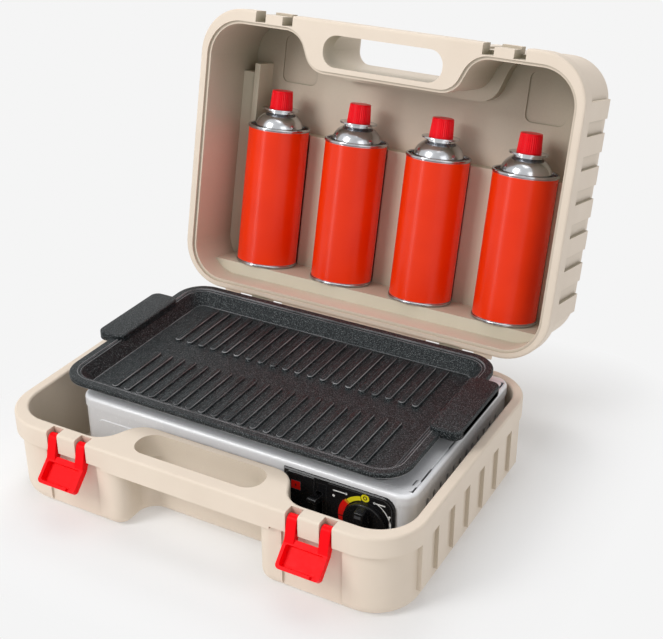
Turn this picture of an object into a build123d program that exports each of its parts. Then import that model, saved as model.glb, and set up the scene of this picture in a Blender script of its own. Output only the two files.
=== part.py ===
"""Portable butane cooking kit: a moulded carrying case that holds a cassette stove, its grill pan and
four gas canisters. Millimetres, +Z up, +X right, +Y towards the lid hinge. The origin is the centre of
the case's underside. The lid is open, as when the kit is in use."""

from build123d import *
from math import cos, radians, sin
import os

os.makedirs("parts", exist_ok=True)


def save(builder, name):
    """Label a finished piece and write it as its own STEP file."""
    builder.part.label = name
    export_step(builder.part, f"parts/{name}.step")


# ---------------------------------------------------------------- carrying case sizes
CASE_WIDTH = 424
CASE_DEPTH = 300
CASE_CORNER = 48
CAVITY_CORNER = 36
RIM_FRONT = 15
RIM_SIDE = 11
RIM_BACK = 9
BAND_HEIGHT = 20  # thick band round each rim
BAND_STEP = 5  # the body is set in below the band
EDGE_ROUND = 12  # outer edge of the closed side
RIM_ROUND = 2.5
BASE_HEIGHT = 87
BASE_FLOOR = 4
LID_ROOF = 4
RIM_GAP = 0.3  # between the two rims when shut
LIP_WIDTH = 3  # step inside the lid's rim
LIP_DEPTH = 3

# hand opening behind the carrying bar, and the recess under it
HOLE_LENGTH = 132
HOLE_WIDTH = 32
HOLE_CORNER = 15
BAR_THICKNESS = 13
BAR_DROP = 3
BAR_LENGTH = 176
RECESS_LENGTH = 142
RECESS_ROUND = 14
BULGE_WALL = 8
BULGE_LENGTH = 160
BULGE_FLARE = 17
BULGE_ROUND = 24

# grip ribs on the two side walls
RIB_COUNT = 7
RIB_PITCH = 33
RIB_WIDTH = 19
RIB_PROUD = 3.5

# latches
LATCH_X = 126
LATCH_WIDTH = 42
SLOT_WIDTH = 12
SLOT_DEPTH = 11
SLOT_SPACING = 32  # between the two slots of one latch
LATCH_PIVOT_IN = 5  # behind the band's front face
LATCH_PIVOT_DOWN = 8  # below the rim
LATCH_REST = 135  # degrees from upright to hanging open
LATCH_LENGTH = 42
LATCH_THICK = 8
LATCH_FACE = 5.6  # inner face of the shut latch in front of its pivot
LATCH_BODY_START = 15
LATCH_BAR = 5.5  # crossbar between the arms
LATCH_CORNER = 4
SLOT_BELOW = 1.5  # how far the slots run below the band
HOOK_REACH = 2.5  # the lip catches over a block on the lid
HOOK_GAP = 0.3
LATCH_WALL = 3
LATCH_FLOOR = 2
LATCH_NICHE = 2  # the case is set in behind a latch
NICHE_MARGIN = 8
CATCH_RELIEF = 2.5  # the lid's band is cut back under a shut latch
ARM_WIDTH = 9
ARM_ROUND = 4.8
LATCH_PIN_RADIUS = 1.5
PIN_CLEARANCE = 0.06

# hinge
HINGE_BEHIND = 8  # axis behind the back of the band
KNUCKLE_RADIUS = 6.5
HINGE_X = 112
LUG_WIDTH = 13
KNUCKLE_WIDTH = 22
HINGE_GAP = 0.4
HINGE_PIN_RADIUS = 2.5
LID_OPEN = 103  # degrees from shut
STOP_REACH = 14  # the stop bar's far edge behind the hinge axis
STOP_DEPTH = 7
HEEL_REACH = 13
HEEL_BELOW = 4
HEEL_ABOVE = 2
STOP_GAP = 0.3

# moulded seats inside the lid
SHELF_GAP = 0.3
SHELF_DEPTH = 34  # the shelf under the canisters starts this deep
CRADLE_TOP_Y = -20
CRADLE_RISE = 17
LEDGE_TOP_Y = -80
LEDGE_WIDTH = 22
LEDGE_RISE = 26
SHOULDER_GROW = 11
SHOULDER_DEPTH = 84
CHANNEL_SKIN = 0.3  # left between a channel and the roof
LEDGE_BAR = 6.5  # raised bar along the ledge
LEDGE_BAR_TOP_Y = -90
LEDGE_BAR_RISE = 29
PAD_WIDTH = 44  # sunk squares in the roof behind the outer canisters
PAD_LENGTH = 52
PAD_Y = -98
PAD_CORNER = 8
PAD_DEPTH = 1.4

# gas canisters, lying in the lid
CAN_COUNT = 4
CAN_PITCH = 96
CAN_RADIUS = 33.3
CHIME_RADIUS = 34.3
CAN_LENGTH = 155
CAN_WALL = 1
CAN_SEAT = 0.7  # clearance round a canister in its channel
DOME_RADIUS = 26.4
DOME_HEIGHT = 17
COLLAR_RADIUS = 20
CAP_BASE_RADIUS = 12.6
CAP_TOP_RADIUS = 11.2
CAP_HEIGHT = 19.5
CAP_WALL = 1.2

# grill pan
PAN_WIDTH = 360
PAN_DEPTH = 230
PAN_CENTRE_Y = 20.5
PAN_CORNER = 30
PAN_HEIGHT = 18
PAN_FLOOR = 4
PAN_RIM = 11
PAN_RIM_THICK = 4.5
PAN_WALL = 4
PAN_TILT = 38  # lean of the walls, from upright
PAN_EDGE_ROUND = 1.6
PAN_STEP = 8  # the rim's inner edge is stepped down
PAN_STEP_DEPTH = 1.2
TAB_LENGTH = 98
TAB_REACH = 17.5
TAB_INSET = 12
TAB_THICK = 7
TAB_Y = 39
TAB_CORNER = 9
TAB_RISE = 1.4  # above the rim
TAB_ROUND = 1
GRILL_RIBS = 20
GRILL_PITCH = 14
GRILL_RIB_WIDTH = 5.2
GRILL_RIB_HEIGHT = 2.6
GRILL_RIB_LENGTH = 74
GRILL_ROWS_Y = 52
GRILL_RIB_TAPER = 24

# stove
STOVE_X = 15  # the stove stands right of the case's centre
STOVE_WIDTH = 350
STOVE_DEPTH = 224
STOVE_FRONT = -88
STOVE_CORNER = 14
STOVE_TOP = 90
FOOT_HEIGHT = 5
FOOT_RADIUS = 9
FOOT_INSET = 29
SHEET = 1
SKIRT_HEIGHT = 11
TOP_ROUND = 3.5
FLANGE = 8  # turned in under the body, for the bottom plate
SLIP = 0.1  # between nested sheets
VENTS = 12
VENT_PITCH = 14
VENT_WIDTH = 4.5
VENT_HEIGHT = 15
VENT_Z = 62
EMBOSS_X = -45
EMBOSS_WIDTH = 190
EMBOSS_Z = 46
EMBOSS_HEIGHT = 46
EMBOSS_RISE = 0.8
SCREW_HEAD = 3
SCREW_RADIUS = 1.5
SCREW_LENGTH = 7
SCREW_CLEARANCE = 0.1

# control panel
PANEL_LEFT = 67
PANEL_RIGHT = 175
PANEL_LOW = 14
PANEL_HIGH = 84
PANEL_THICK = 3
PANEL_ROUND = 12
PANEL_LAP = 3  # over the edge of the opening behind it
PANEL_GAP = 0.3
LABEL_RIGHT = 98  # right edge of the raised block on the panel's left
LABEL_INSET = 1.6
LABEL_RISE = 0.8
LABEL_CHAMFER = 4
CHANNEL_RIGHT = 109.5  # the lever's channel lies between the block and this
CHANNEL_DEPTH = 1
KNOB_X = 148
KNOB_Z = 54
KNOB_RADIUS = 20
KNOB_BASE = 5
KNOB_DEPTH = 15
GRIP_WIDTH = 10
SPINDLE_RADIUS = 3
SPINDLE_GRIP = 8  # how far the spindle reaches into the knob and the valve
LEVER_X = 102
LEVER_PIVOT_Y = -60
LEVER_PIVOT_Z = 52
LEVER_SWING = 20
LEVER_WIDTH = 5
LEVER_ROOT = 6
LEVER_TIP = 2.4
LEVER_REACH = 46
PADDLE_WIDTH = 8
PADDLE_LENGTH = 12
PADDLE_THICK = 5
EAR_THICK = 2
EAR_GAP = 0.6
SLOT_HEIGHT = 34

# burner
BURNER_X = -20
BURNER_Y = 22
BURNER_Z = 79  # top of the burner's cup
BURNER_RADIUS = 26
CUP_RADIUS = 20
CUP_LOW = 36
CUP_WALL = 3
TUBE_Z = 47
TUBE_RADIUS = 7
TUBE_BORE = 5
TUBE_START_X = 112
TUBE_START_Y = -44
BELL_RADIUS = 9
BELL_LENGTH = 6
CAP_RISE = 5
PORTS = 24
PORT_WIDTH = 2
PORT_HEIGHT = 1.6
WELL_X = -22.5
WELL_Y = 24
WELL_WIDTH = 245
WELL_DEPTH = 180
WELL_CORNER = 18
WELL_DROP = 10
WELL_LEDGE = 5
TRAY_RIM = 5
TRAY_GAP = 0.3
ARM_THICK = 3
ARM_IN = 40
ARM_OUT = 86
RING_RADIUS = 54
RING_WIDTH = 4
RING_HEIGHT = 3
ELECTRODE_X = 13
ELECTRODE_Y = 12
ELECTRODE_RADIUS = 3
ELECTRODE_LOW = 76
ELECTRODE_TOP = 88
ELECTRODE_TIP = 8
WIRE_RADIUS = 1

# cartridge bay
BAY_X = 149
BAY_Z = 46
SHIELD_X = 110
SHIELD_FRONT = -30
SOCKET_Y = -50  # front face of the socket plate
SOCKET_THICK = 1.5
SOCKET_WIDTH = 60
SOCKET_TOP = 64
SOCKET_FOOT = 12
NOZZLE_RADIUS = 6
NOZZLE_LENGTH = 4
VALVE_WIDTH = 24
VALVE_LOW = 38
VALVE_HIGH = 66
VALVE_DEPTH = 30
NECK_RADIUS = 9
JET_RADIUS = 3
JET_HEX = 9
JET_REACH = 4
CARRIER_Y = -36
CARRIER_WIDTH = 54
CARRIER_LENGTH = 96
CARRIER_HIGH = 60
CARRIER_GAP = 0.3
CARRIER_NOTCH = 21
TONGUE_LEFT = 108.5
TONGUE_LOW = 24
TONGUE_HEIGHT = 10
IGNITER_X = 125
IGNITER_Z = 68
IGNITER_WIDTH = 14
IGNITER_HEIGHT = 16
IGNITER_DEPTH = 24
DOOR_LEFT = 113
DOOR_RIGHT = 184.5
DOOR_FRONT = -78
DOOR_BACK = 126
DOOR_CORNER = 4
DOOR_GAP = 0.4
DOOR_FLANGE = 5
DOOR_KNUCKLE = 2.4
DOOR_AXIS_IN = 1.2  # hinge axis inside the door's right edge
DOOR_SWEEP = 1.9  # room beyond the door's edge for it to turn in
DOOR_PIN_RADIUS = 1.2
DOOR_EARS = 3
DOOR_EAR_PITCH = 88
DOOR_EAR_WIDTH = 9

# ---------------------------------------------------------------- derived places
FRONT_Y = -CASE_DEPTH / 2
BACK_Y = CASE_DEPTH / 2
HOLE_Y = FRONT_Y + BAR_THICKNESS + HOLE_WIDTH / 2
RECESS_Y = FRONT_Y + BAR_THICKNESS + HOLE_WIDTH
BULGE_Y = RECESS_Y + BULGE_WALL
CAVITY_FRONT = FRONT_Y + RIM_FRONT
CAVITY_BACK = BACK_Y - RIM_BACK
CAVITY_HALF = CASE_WIDTH / 2 - RIM_SIDE
LID_RIM = BASE_HEIGHT + RIM_GAP
HINGE_Y = BACK_Y + HINGE_BEHIND
HINGE_Z = BASE_HEIGHT + RIM_GAP / 2
STOVE_Y = STOVE_FRONT + STOVE_DEPTH / 2
STOVE_LOW = BASE_FLOOR + FOOT_HEIGHT
STOVE_RIGHT = STOVE_X + STOVE_WIDTH / 2
STOVE_LEFT = STOVE_X - STOVE_WIDTH / 2
STOVE_BACK = STOVE_FRONT + STOVE_DEPTH
BODY_FACE = SHEET + SLIP  # the wrap stands this far inside the top's skirt
BODY_FRONT = STOVE_FRONT + BODY_FACE
PANEL_FRONT = BODY_FRONT - PANEL_THICK
PANEL_X = (PANEL_LEFT + PANEL_RIGHT) / 2
PANEL_Z = (PANEL_LOW + PANEL_HIGH) / 2
BOTTOM_TOP = STOVE_LOW + SHEET
WELL_FLOOR = STOVE_TOP - WELL_DROP + SHEET  # the drip tray lies on this ledge
TRAY_TOP = WELL_FLOOR + SHEET
DOOR_AXIS_X = DOOR_RIGHT - DOOR_AXIS_IN
DOOR_AXIS_Z = STOVE_TOP - DOOR_KNUCKLE
DOOR_MIDDLE = (DOOR_FRONT + DOOR_BACK) / 2
PAN_LOW = STOVE_TOP + 1
PAN_TOP = PAN_LOW + PAN_HEIGHT
CAN_OVER_PAN = 8
CAN_Z = PAN_TOP + CAN_OVER_PAN + CHIME_RADIUS
CAN_FOOT_Y = 127
LID_HEIGHT = CAN_Z + CHIME_RADIUS + CAN_SEAT + CHANNEL_SKIN + LID_ROOF - LID_RIM
ROOF_LEVEL = LID_RIM + LID_HEIGHT - LID_ROOF
CAN_XS = [(i - (CAN_COUNT - 1) / 2) * CAN_PITCH for i in range(CAN_COUNT)]

# The case's own frame as the open lid carries it: in it, the lid's sizes read as if it were shut.
OPEN_Z = Vector(0, sin(radians(LID_OPEN)), cos(radians(LID_OPEN)))
OPEN_Y = Vector(0, cos(radians(LID_OPEN)), -sin(radians(LID_OPEN)))
LID = Plane(
    origin=Vector(0, HINGE_Y, HINGE_Z) - OPEN_Y * HINGE_Y - OPEN_Z * HINGE_Z,
    x_dir=(1, 0, 0),
    z_dir=OPEN_Z,
)


# ---------------------------------------------------------------- outlines shared by both case halves
def case_outline(inset=0):
    RectangleRounded(CASE_WIDTH - 2 * inset, CASE_DEPTH - 2 * inset, CASE_CORNER - inset)


def corners(sketch, x, y):
    """The sketch's vertices at plus and minus x on the line y."""
    return [v for v in sketch.vertices() if abs(abs(v.X) - x) < 0.01 and abs(v.Y - y) < 0.01]


def body_outline():
    """Below the band: the outline set in, with the hand recess at the front."""
    with BuildSketch(mode=Mode.PRIVATE) as body:
        case_outline(BAND_STEP)
        with Locations((0, (FRONT_Y + RECESS_Y) / 2)):
            Rectangle(RECESS_LENGTH, RECESS_Y - FRONT_Y, mode=Mode.SUBTRACT)
        fillet(corners(body, RECESS_LENGTH / 2, RECESS_Y), RECESS_ROUND)
        fillet(corners(body, RECESS_LENGTH / 2, FRONT_Y + BAND_STEP), RECESS_ROUND)
    return body.sketch


def cavity_outline(bulge_grow=0, grow=0):
    """Inside of a half, which curves round the hand opening."""
    half = BULGE_LENGTH / 2 + bulge_grow
    deep = BULGE_Y + bulge_grow
    with BuildSketch(mode=Mode.PRIVATE) as cavity:
        with Locations((0, (CAVITY_FRONT + CAVITY_BACK) / 2)):
            RectangleRounded(2 * CAVITY_HALF, CAVITY_BACK - CAVITY_FRONT, CAVITY_CORNER)
        with BuildLine():
            Polyline(
                (half + BULGE_FLARE, CAVITY_FRONT),
                (half, deep),
                (-half, deep),
                (-half - BULGE_FLARE, CAVITY_FRONT),
                close=True,
            )
        make_face(mode=Mode.SUBTRACT)
        fillet(corners(cavity, half, deep), BULGE_ROUND)
        fillet(corners(cavity, half + BULGE_FLARE, CAVITY_FRONT), BULGE_ROUND)
        if grow:
            offset(amount=grow)
    return cavity.sketch


def latch_slots():
    for side in (-1, 1):
        for arm in (-1, 1):
            with Locations((side * LATCH_X + arm * SLOT_SPACING / 2, FRONT_Y + SLOT_DEPTH / 2)):
                Rectangle(SLOT_WIDTH, SLOT_DEPTH)


def case_half(frame, rim, grow, height, floor):
    """One half of the case in frame: rim is its rim's level and grow the way it deepens, -1 or +1."""
    band_level = rim + grow * BAND_HEIGHT
    outward = Axis(frame.origin, frame.z_dir * grow)
    with BuildPart() as half:
        with BuildSketch(frame.offset(band_level)):
            add(body_outline())
        extrude(amount=grow * (height - BAND_HEIGHT))
        fillet(half.faces().sort_by(outward)[-1].edges(), EDGE_ROUND)
        with BuildSketch(frame.offset(band_level)):
            with GridLocations(CASE_WIDTH - 2 * BAND_STEP, RIB_PITCH, 2, RIB_COUNT):
                Rectangle(2 * RIB_PROUD, RIB_WIDTH)
        extrude(amount=grow * (height - BAND_HEIGHT - 1.4 * EDGE_ROUND))
        with BuildSketch(frame.offset(rim)):
            case_outline()
        extrude(amount=grow * BAND_HEIGHT)
        rim_face = half.faces().sort_by(outward)[0]
        fillet(rim_face.edges(), RIM_ROUND)
        with BuildSketch(frame.offset(rim + grow * RIM_ROUND)):
            with Locations((0, (FRONT_Y + RECESS_Y) / 2)):
                Rectangle(BAR_LENGTH, RECESS_Y - FRONT_Y)
        extrude(amount=grow * (BAND_HEIGHT + BAR_DROP - RIM_ROUND))
        with BuildSketch(frame.offset(rim)):
            add(cavity_outline())
        extrude(amount=grow * (height - floor), mode=Mode.SUBTRACT)
        rim_face = half.faces().sort_by(outward)[0]
        fillet(rim_face.inner_wires()[0].edges(), RIM_ROUND)
        with BuildSketch(frame.offset(rim)):
            with Locations((0, HOLE_Y)):
                RectangleRounded(HOLE_LENGTH, HOLE_WIDTH, HOLE_CORNER)
        extrude(amount=grow * (BAND_HEIGHT + BAR_DROP), mode=Mode.SUBTRACT)
        with BuildSketch(frame.offset(rim)):
            latch_slots()
        extrude(amount=grow * (BAND_HEIGHT + SLOT_BELOW), mode=Mode.SUBTRACT)
        with BuildSketch(frame.offset(band_level)):
            with Locations((-LATCH_X, FRONT_Y), (LATCH_X, FRONT_Y)):
                Rectangle(LATCH_WIDTH + 2 * NICHE_MARGIN, 2 * (BAND_STEP + LATCH_NICHE))
        extrude(amount=grow * (height - BAND_HEIGHT), mode=Mode.SUBTRACT)
    return half.part


def side_plane(frame, x):
    """Plane across the hinge line: its axes are the frame's Y and Z."""
    return Plane(origin=frame.from_local_coords((x, 0, 0)), x_dir=frame.y_dir, z_dir=frame.x_dir)


def knuckle_spans():
    """Left edge and width of each base lug, then of each lid knuckle."""
    lugs = []
    knuckles = []
    for centre in (-HINGE_X, HINGE_X):
        knuckles.append((centre - KNUCKLE_WIDTH / 2, KNUCKLE_WIDTH))
        lugs.append((centre - KNUCKLE_WIDTH / 2 - HINGE_GAP - LUG_WIDTH, LUG_WIDTH))
        lugs.append((centre + KNUCKLE_WIDTH / 2 + HINGE_GAP, LUG_WIDTH))
    return lugs, knuckles


LUGS, KNUCKLES = knuckle_spans()
STOP_TOP = HINGE_Z - HEEL_BELOW - STOP_GAP
WEB_ROOT = BACK_Y - RIM_ROUND - 1
LATCH_PIVOT_Y = FRONT_Y + LATCH_PIVOT_IN
LATCH_PIVOT_Z = BASE_HEIGHT - LATCH_PIVOT_DOWN
CATCH_TOP = LATCH_PIVOT_Z + LATCH_LENGTH - LATCH_WALL - HOOK_GAP  # the lip catches over this
FOOT_PLACES = [
    (x, y)
    for x in (STOVE_LEFT + FOOT_INSET, STOVE_RIGHT - FOOT_INSET)
    for y in (STOVE_FRONT + FOOT_INSET, STOVE_BACK - FOOT_INSET)
]


def pin_bore(frame, y, z, radius, start, length):
    """Cut a round hole along X through the part that is being built."""
    across = Plane(origin=frame.from_local_coords((start, y, z)), x_dir=frame.y_dir, z_dir=frame.x_dir)
    with Locations(across.location):
        Cylinder(radius, length, align=(Align.CENTER, Align.CENTER, Align.MIN), mode=Mode.SUBTRACT)


# ---------------------------------------------------------------- case base
with BuildPart() as case_base:
    add(case_half(Plane.XY, BASE_HEIGHT, -1, BASE_HEIGHT, BASE_FLOOR))
    for left, width in LUGS:
        with BuildSketch(side_plane(Plane.XY, left)):
            with Locations((HINGE_Y, HINGE_Z)):
                Circle(KNUCKLE_RADIUS)
            with BuildLine():
                Polyline(
                    (WEB_ROOT, BASE_HEIGHT - RIM_ROUND),
                    (HINGE_Y, BASE_HEIGHT - RIM_ROUND),
                    (HINGE_Y + STOP_REACH, STOP_TOP),
                    (HINGE_Y + STOP_REACH, STOP_TOP - STOP_DEPTH),
                    (WEB_ROOT, BASE_HEIGHT - BAND_HEIGHT),
                    close=True,
                )
            make_face()
        extrude(amount=width)
        pin_bore(Plane.XY, HINGE_Y, HINGE_Z, HINGE_PIN_RADIUS + PIN_CLEARANCE, left, width)
    for left, width in KNUCKLES:
        with BuildSketch(side_plane(Plane.XY, left - HINGE_GAP)):
            with Locations((HINGE_Y + STOP_REACH - STOP_DEPTH / 2, STOP_TOP - STOP_DEPTH / 2)):
                Rectangle(STOP_DEPTH, STOP_DEPTH)
        extrude(amount=width + 2 * HINGE_GAP)
    with BuildSketch(Plane.XY.offset(BASE_FLOOR)):
        with Locations(*FOOT_PLACES):
            Circle(FOOT_RADIUS + 4)
            Circle(FOOT_RADIUS + 1, mode=Mode.SUBTRACT)
    extrude(amount=2.5)
    for side in (-LATCH_X, LATCH_X):
        across = LATCH_WIDTH + 2 * LATCH_WALL + 8
        pin_bore(Plane.XY, LATCH_PIVOT_Y, LATCH_PIVOT_Z, LATCH_PIN_RADIUS + PIN_CLEARANCE,
                 side - across / 2, across)
save(case_base, "case_base")

# ---------------------------------------------------------------- case lid
with BuildPart() as case_lid:
    add(case_half(LID, LID_RIM, 1, LID_HEIGHT, LID_ROOF))
    with BuildSketch(LID.offset(LID_RIM)):
        add(cavity_outline(grow=LIP_WIDTH))
    extrude(amount=LIP_DEPTH, mode=Mode.SUBTRACT)
    with BuildSketch(LID.offset(ROOF_LEVEL)):
        add(cavity_outline())
        add(cavity_outline(bulge_grow=SHOULDER_GROW), mode=Mode.SUBTRACT)
    extrude(amount=-(ROOF_LEVEL - LID_RIM - SHOULDER_DEPTH))
    with BuildSketch(LID.offset(ROOF_LEVEL)):
        with Locations((CAN_XS[0], PAD_Y), (CAN_XS[-1], PAD_Y)):
            RectangleRounded(PAD_WIDTH, PAD_LENGTH, PAD_CORNER)
    extrude(amount=PAD_DEPTH, mode=Mode.SUBTRACT)
    with BuildSketch(LID.offset(LID_RIM)):
        with Locations((-LATCH_X, FRONT_Y), (LATCH_X, FRONT_Y)):
            Rectangle(LATCH_WIDTH + 2 * HOOK_GAP, 2 * CATCH_RELIEF)
    extrude(amount=BAND_HEIGHT, mode=Mode.SUBTRACT)
    with BuildSketch(LID.offset(LID_RIM + BAND_HEIGHT)):
        with Locations((-LATCH_X, FRONT_Y + SLOT_DEPTH / 2), (LATCH_X, FRONT_Y + SLOT_DEPTH / 2)):
            Rectangle(SLOT_SPACING - SLOT_WIDTH, SLOT_DEPTH)
    extrude(amount=CATCH_TOP - LID_RIM - BAND_HEIGHT)
    for left, width in KNUCKLES:
        with BuildSketch(side_plane(LID, left)):
            with Locations((HINGE_Y, HINGE_Z)):
                Circle(KNUCKLE_RADIUS)
            with BuildLine():
                Polyline(
                    (WEB_ROOT, LID_RIM + RIM_ROUND),
                    (HINGE_Y, LID_RIM + RIM_ROUND),
                    (HINGE_Y + KNUCKLE_RADIUS / 2, LID_RIM + KNUCKLE_RADIUS),
                    (WEB_ROOT, LID_RIM + BAND_HEIGHT),
                    close=True,
                )
            make_face()
            with Locations(Location((HINGE_Y, HINGE_Z, 0), (0, 0, LID_OPEN))):
                with Locations((HEEL_REACH / 2, (HEEL_ABOVE - HEEL_BELOW) / 2)):
                    Rectangle(HEEL_REACH, HEEL_ABOVE + HEEL_BELOW)
        extrude(amount=width)
        pin_bore(LID, HINGE_Y, HINGE_Z, HINGE_PIN_RADIUS + PIN_CLEARANCE, left, width)
save(case_lid, "case_lid")


def seat_area(left, right, top_y, back_y):
    """The part of the lid's inside between two x, from top_y back, clear of its walls."""
    add(cavity_outline(grow=-SLIP))
    with Locations(((left + right) / 2, (top_y + back_y) / 2)):
        Rectangle(right - left, back_y - top_y, mode=Mode.INTERSECT)


with BuildPart() as lid_seats:
    with BuildSketch(LID.offset(ROOF_LEVEL - SLIP)):
        seat_area(-CAVITY_HALF, CAVITY_HALF, CRADLE_TOP_Y, BACK_Y)
    extrude(amount=-CRADLE_RISE)
    with BuildSketch(LID.offset(ROOF_LEVEL - SLIP)):
        seat_area(-CAVITY_HALF, -CAVITY_HALF + LEDGE_WIDTH, LEDGE_TOP_Y, BACK_Y)
    extrude(amount=-LEDGE_RISE)
    with BuildSketch(LID.offset(ROOF_LEVEL - SLIP)):
        seat_area(-CAVITY_HALF + LEDGE_WIDTH - LEDGE_BAR, -CAVITY_HALF + LEDGE_WIDTH, LEDGE_BAR_TOP_Y, BACK_Y)
    extrude(amount=-LEDGE_BAR_RISE)
    with BuildSketch(LID.offset(ROOF_LEVEL - SLIP)):
        seat_area(-CAVITY_HALF, CAVITY_HALF, CAN_FOOT_Y + SHELF_GAP, BACK_Y)
    extrude(amount=-(ROOF_LEVEL - LID_RIM - SHELF_DEPTH))
    for x in CAN_XS:
        channel = Plane(
            origin=LID.from_local_coords((x, CAN_FOOT_Y + SHELF_GAP, CAN_Z)),
            x_dir=LID.x_dir,
            z_dir=-LID.y_dir,
        )
        with BuildSketch(channel):
            Circle(CHIME_RADIUS + CAN_SEAT)
        extrude(amount=CAN_LENGTH + 2 * LEDGE_WIDTH, mode=Mode.SUBTRACT)
save(lid_seats, "lid_seats")

with BuildPart() as hinge_pins:
    for left, width in KNUCKLES:
        start = left - HINGE_GAP - LUG_WIDTH
        with BuildSketch(side_plane(Plane.XY, start)):
            with Locations((HINGE_Y, HINGE_Z)):
                Circle(HINGE_PIN_RADIUS)
        extrude(amount=width + 2 * (HINGE_GAP + LUG_WIDTH))
save(hinge_pins, "hinge_pins")

# ---------------------------------------------------------------- latches
LATCH_ALONG = Vector(0, -sin(radians(LATCH_REST)), cos(radians(LATCH_REST)))
LATCH_OUT = Vector(0, -cos(radians(LATCH_REST)), -sin(radians(LATCH_REST)))


def build_latch(side):
    """A latch hanging open: two arms in the slots and a dished pull between them."""
    pivot = Vector(side, LATCH_PIVOT_Y, LATCH_PIVOT_Z)
    flat = Plane(origin=pivot, x_dir=(1, 0, 0), z_dir=LATCH_OUT)  # its Y runs along the latch
    pull_length = LATCH_LENGTH - LATCH_BODY_START
    with BuildPart() as latch:
        with BuildSketch(flat.offset(LATCH_FACE)):
            with Locations((0, LATCH_BODY_START + pull_length / 2)):
                RectangleRounded(LATCH_WIDTH, pull_length, LATCH_CORNER)
        extrude(amount=LATCH_THICK)
        fillet(latch.faces().sort_by(Axis(pivot, LATCH_OUT))[-1].edges(), LATCH_WALL * 0.6)
        dish_start = LATCH_BODY_START + LATCH_BAR
        dish_length = LATCH_LENGTH - LATCH_WALL - dish_start
        with BuildSketch(flat.offset(LATCH_FACE)):
            with Locations((0, dish_start + dish_length / 2)):
                RectangleRounded(LATCH_WIDTH - 2 * LATCH_WALL, dish_length, LATCH_CORNER / 2)
        extrude(amount=LATCH_THICK - LATCH_FLOOR, taper=5, mode=Mode.SUBTRACT)
        with BuildSketch(flat.offset(LATCH_FACE - HOOK_REACH)):
            with Locations((0, LATCH_LENGTH - LATCH_WALL / 2)):
                Rectangle(LATCH_WIDTH - 4 * LATCH_CORNER, LATCH_WALL - HOOK_GAP)
        extrude(amount=HOOK_REACH + LATCH_FLOOR)
        for arm in (-1, 1):
            left = arm * SLOT_SPACING / 2 - ARM_WIDTH / 2
            with BuildSketch(Plane(origin=pivot + Vector(left, 0, 0), x_dir=LATCH_ALONG, z_dir=(1, 0, 0))):
                Circle(ARM_ROUND)
                with Locations((LATCH_BODY_START + LATCH_WALL, LATCH_FACE + (LATCH_THICK - 1) / 2)):
                    Rectangle(LATCH_WALL, LATCH_THICK - 1)
                make_hull()
                Circle(LATCH_PIN_RADIUS + PIN_CLEARANCE, mode=Mode.SUBTRACT)
            extrude(amount=ARM_WIDTH)
    return latch


save(build_latch(-LATCH_X), "latch_left")
save(build_latch(LATCH_X), "latch_right")

with BuildPart() as latch_pins:
    for side in (-LATCH_X, LATCH_X):
        length = LATCH_WIDTH + 2 * LATCH_WALL + 6
        with BuildSketch(side_plane(Plane.XY, side - length / 2)):
            with Locations((LATCH_PIVOT_Y, LATCH_PIVOT_Z)):
                Circle(LATCH_PIN_RADIUS)
        extrude(amount=length)
save(latch_pins, "latch_pins")


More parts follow.
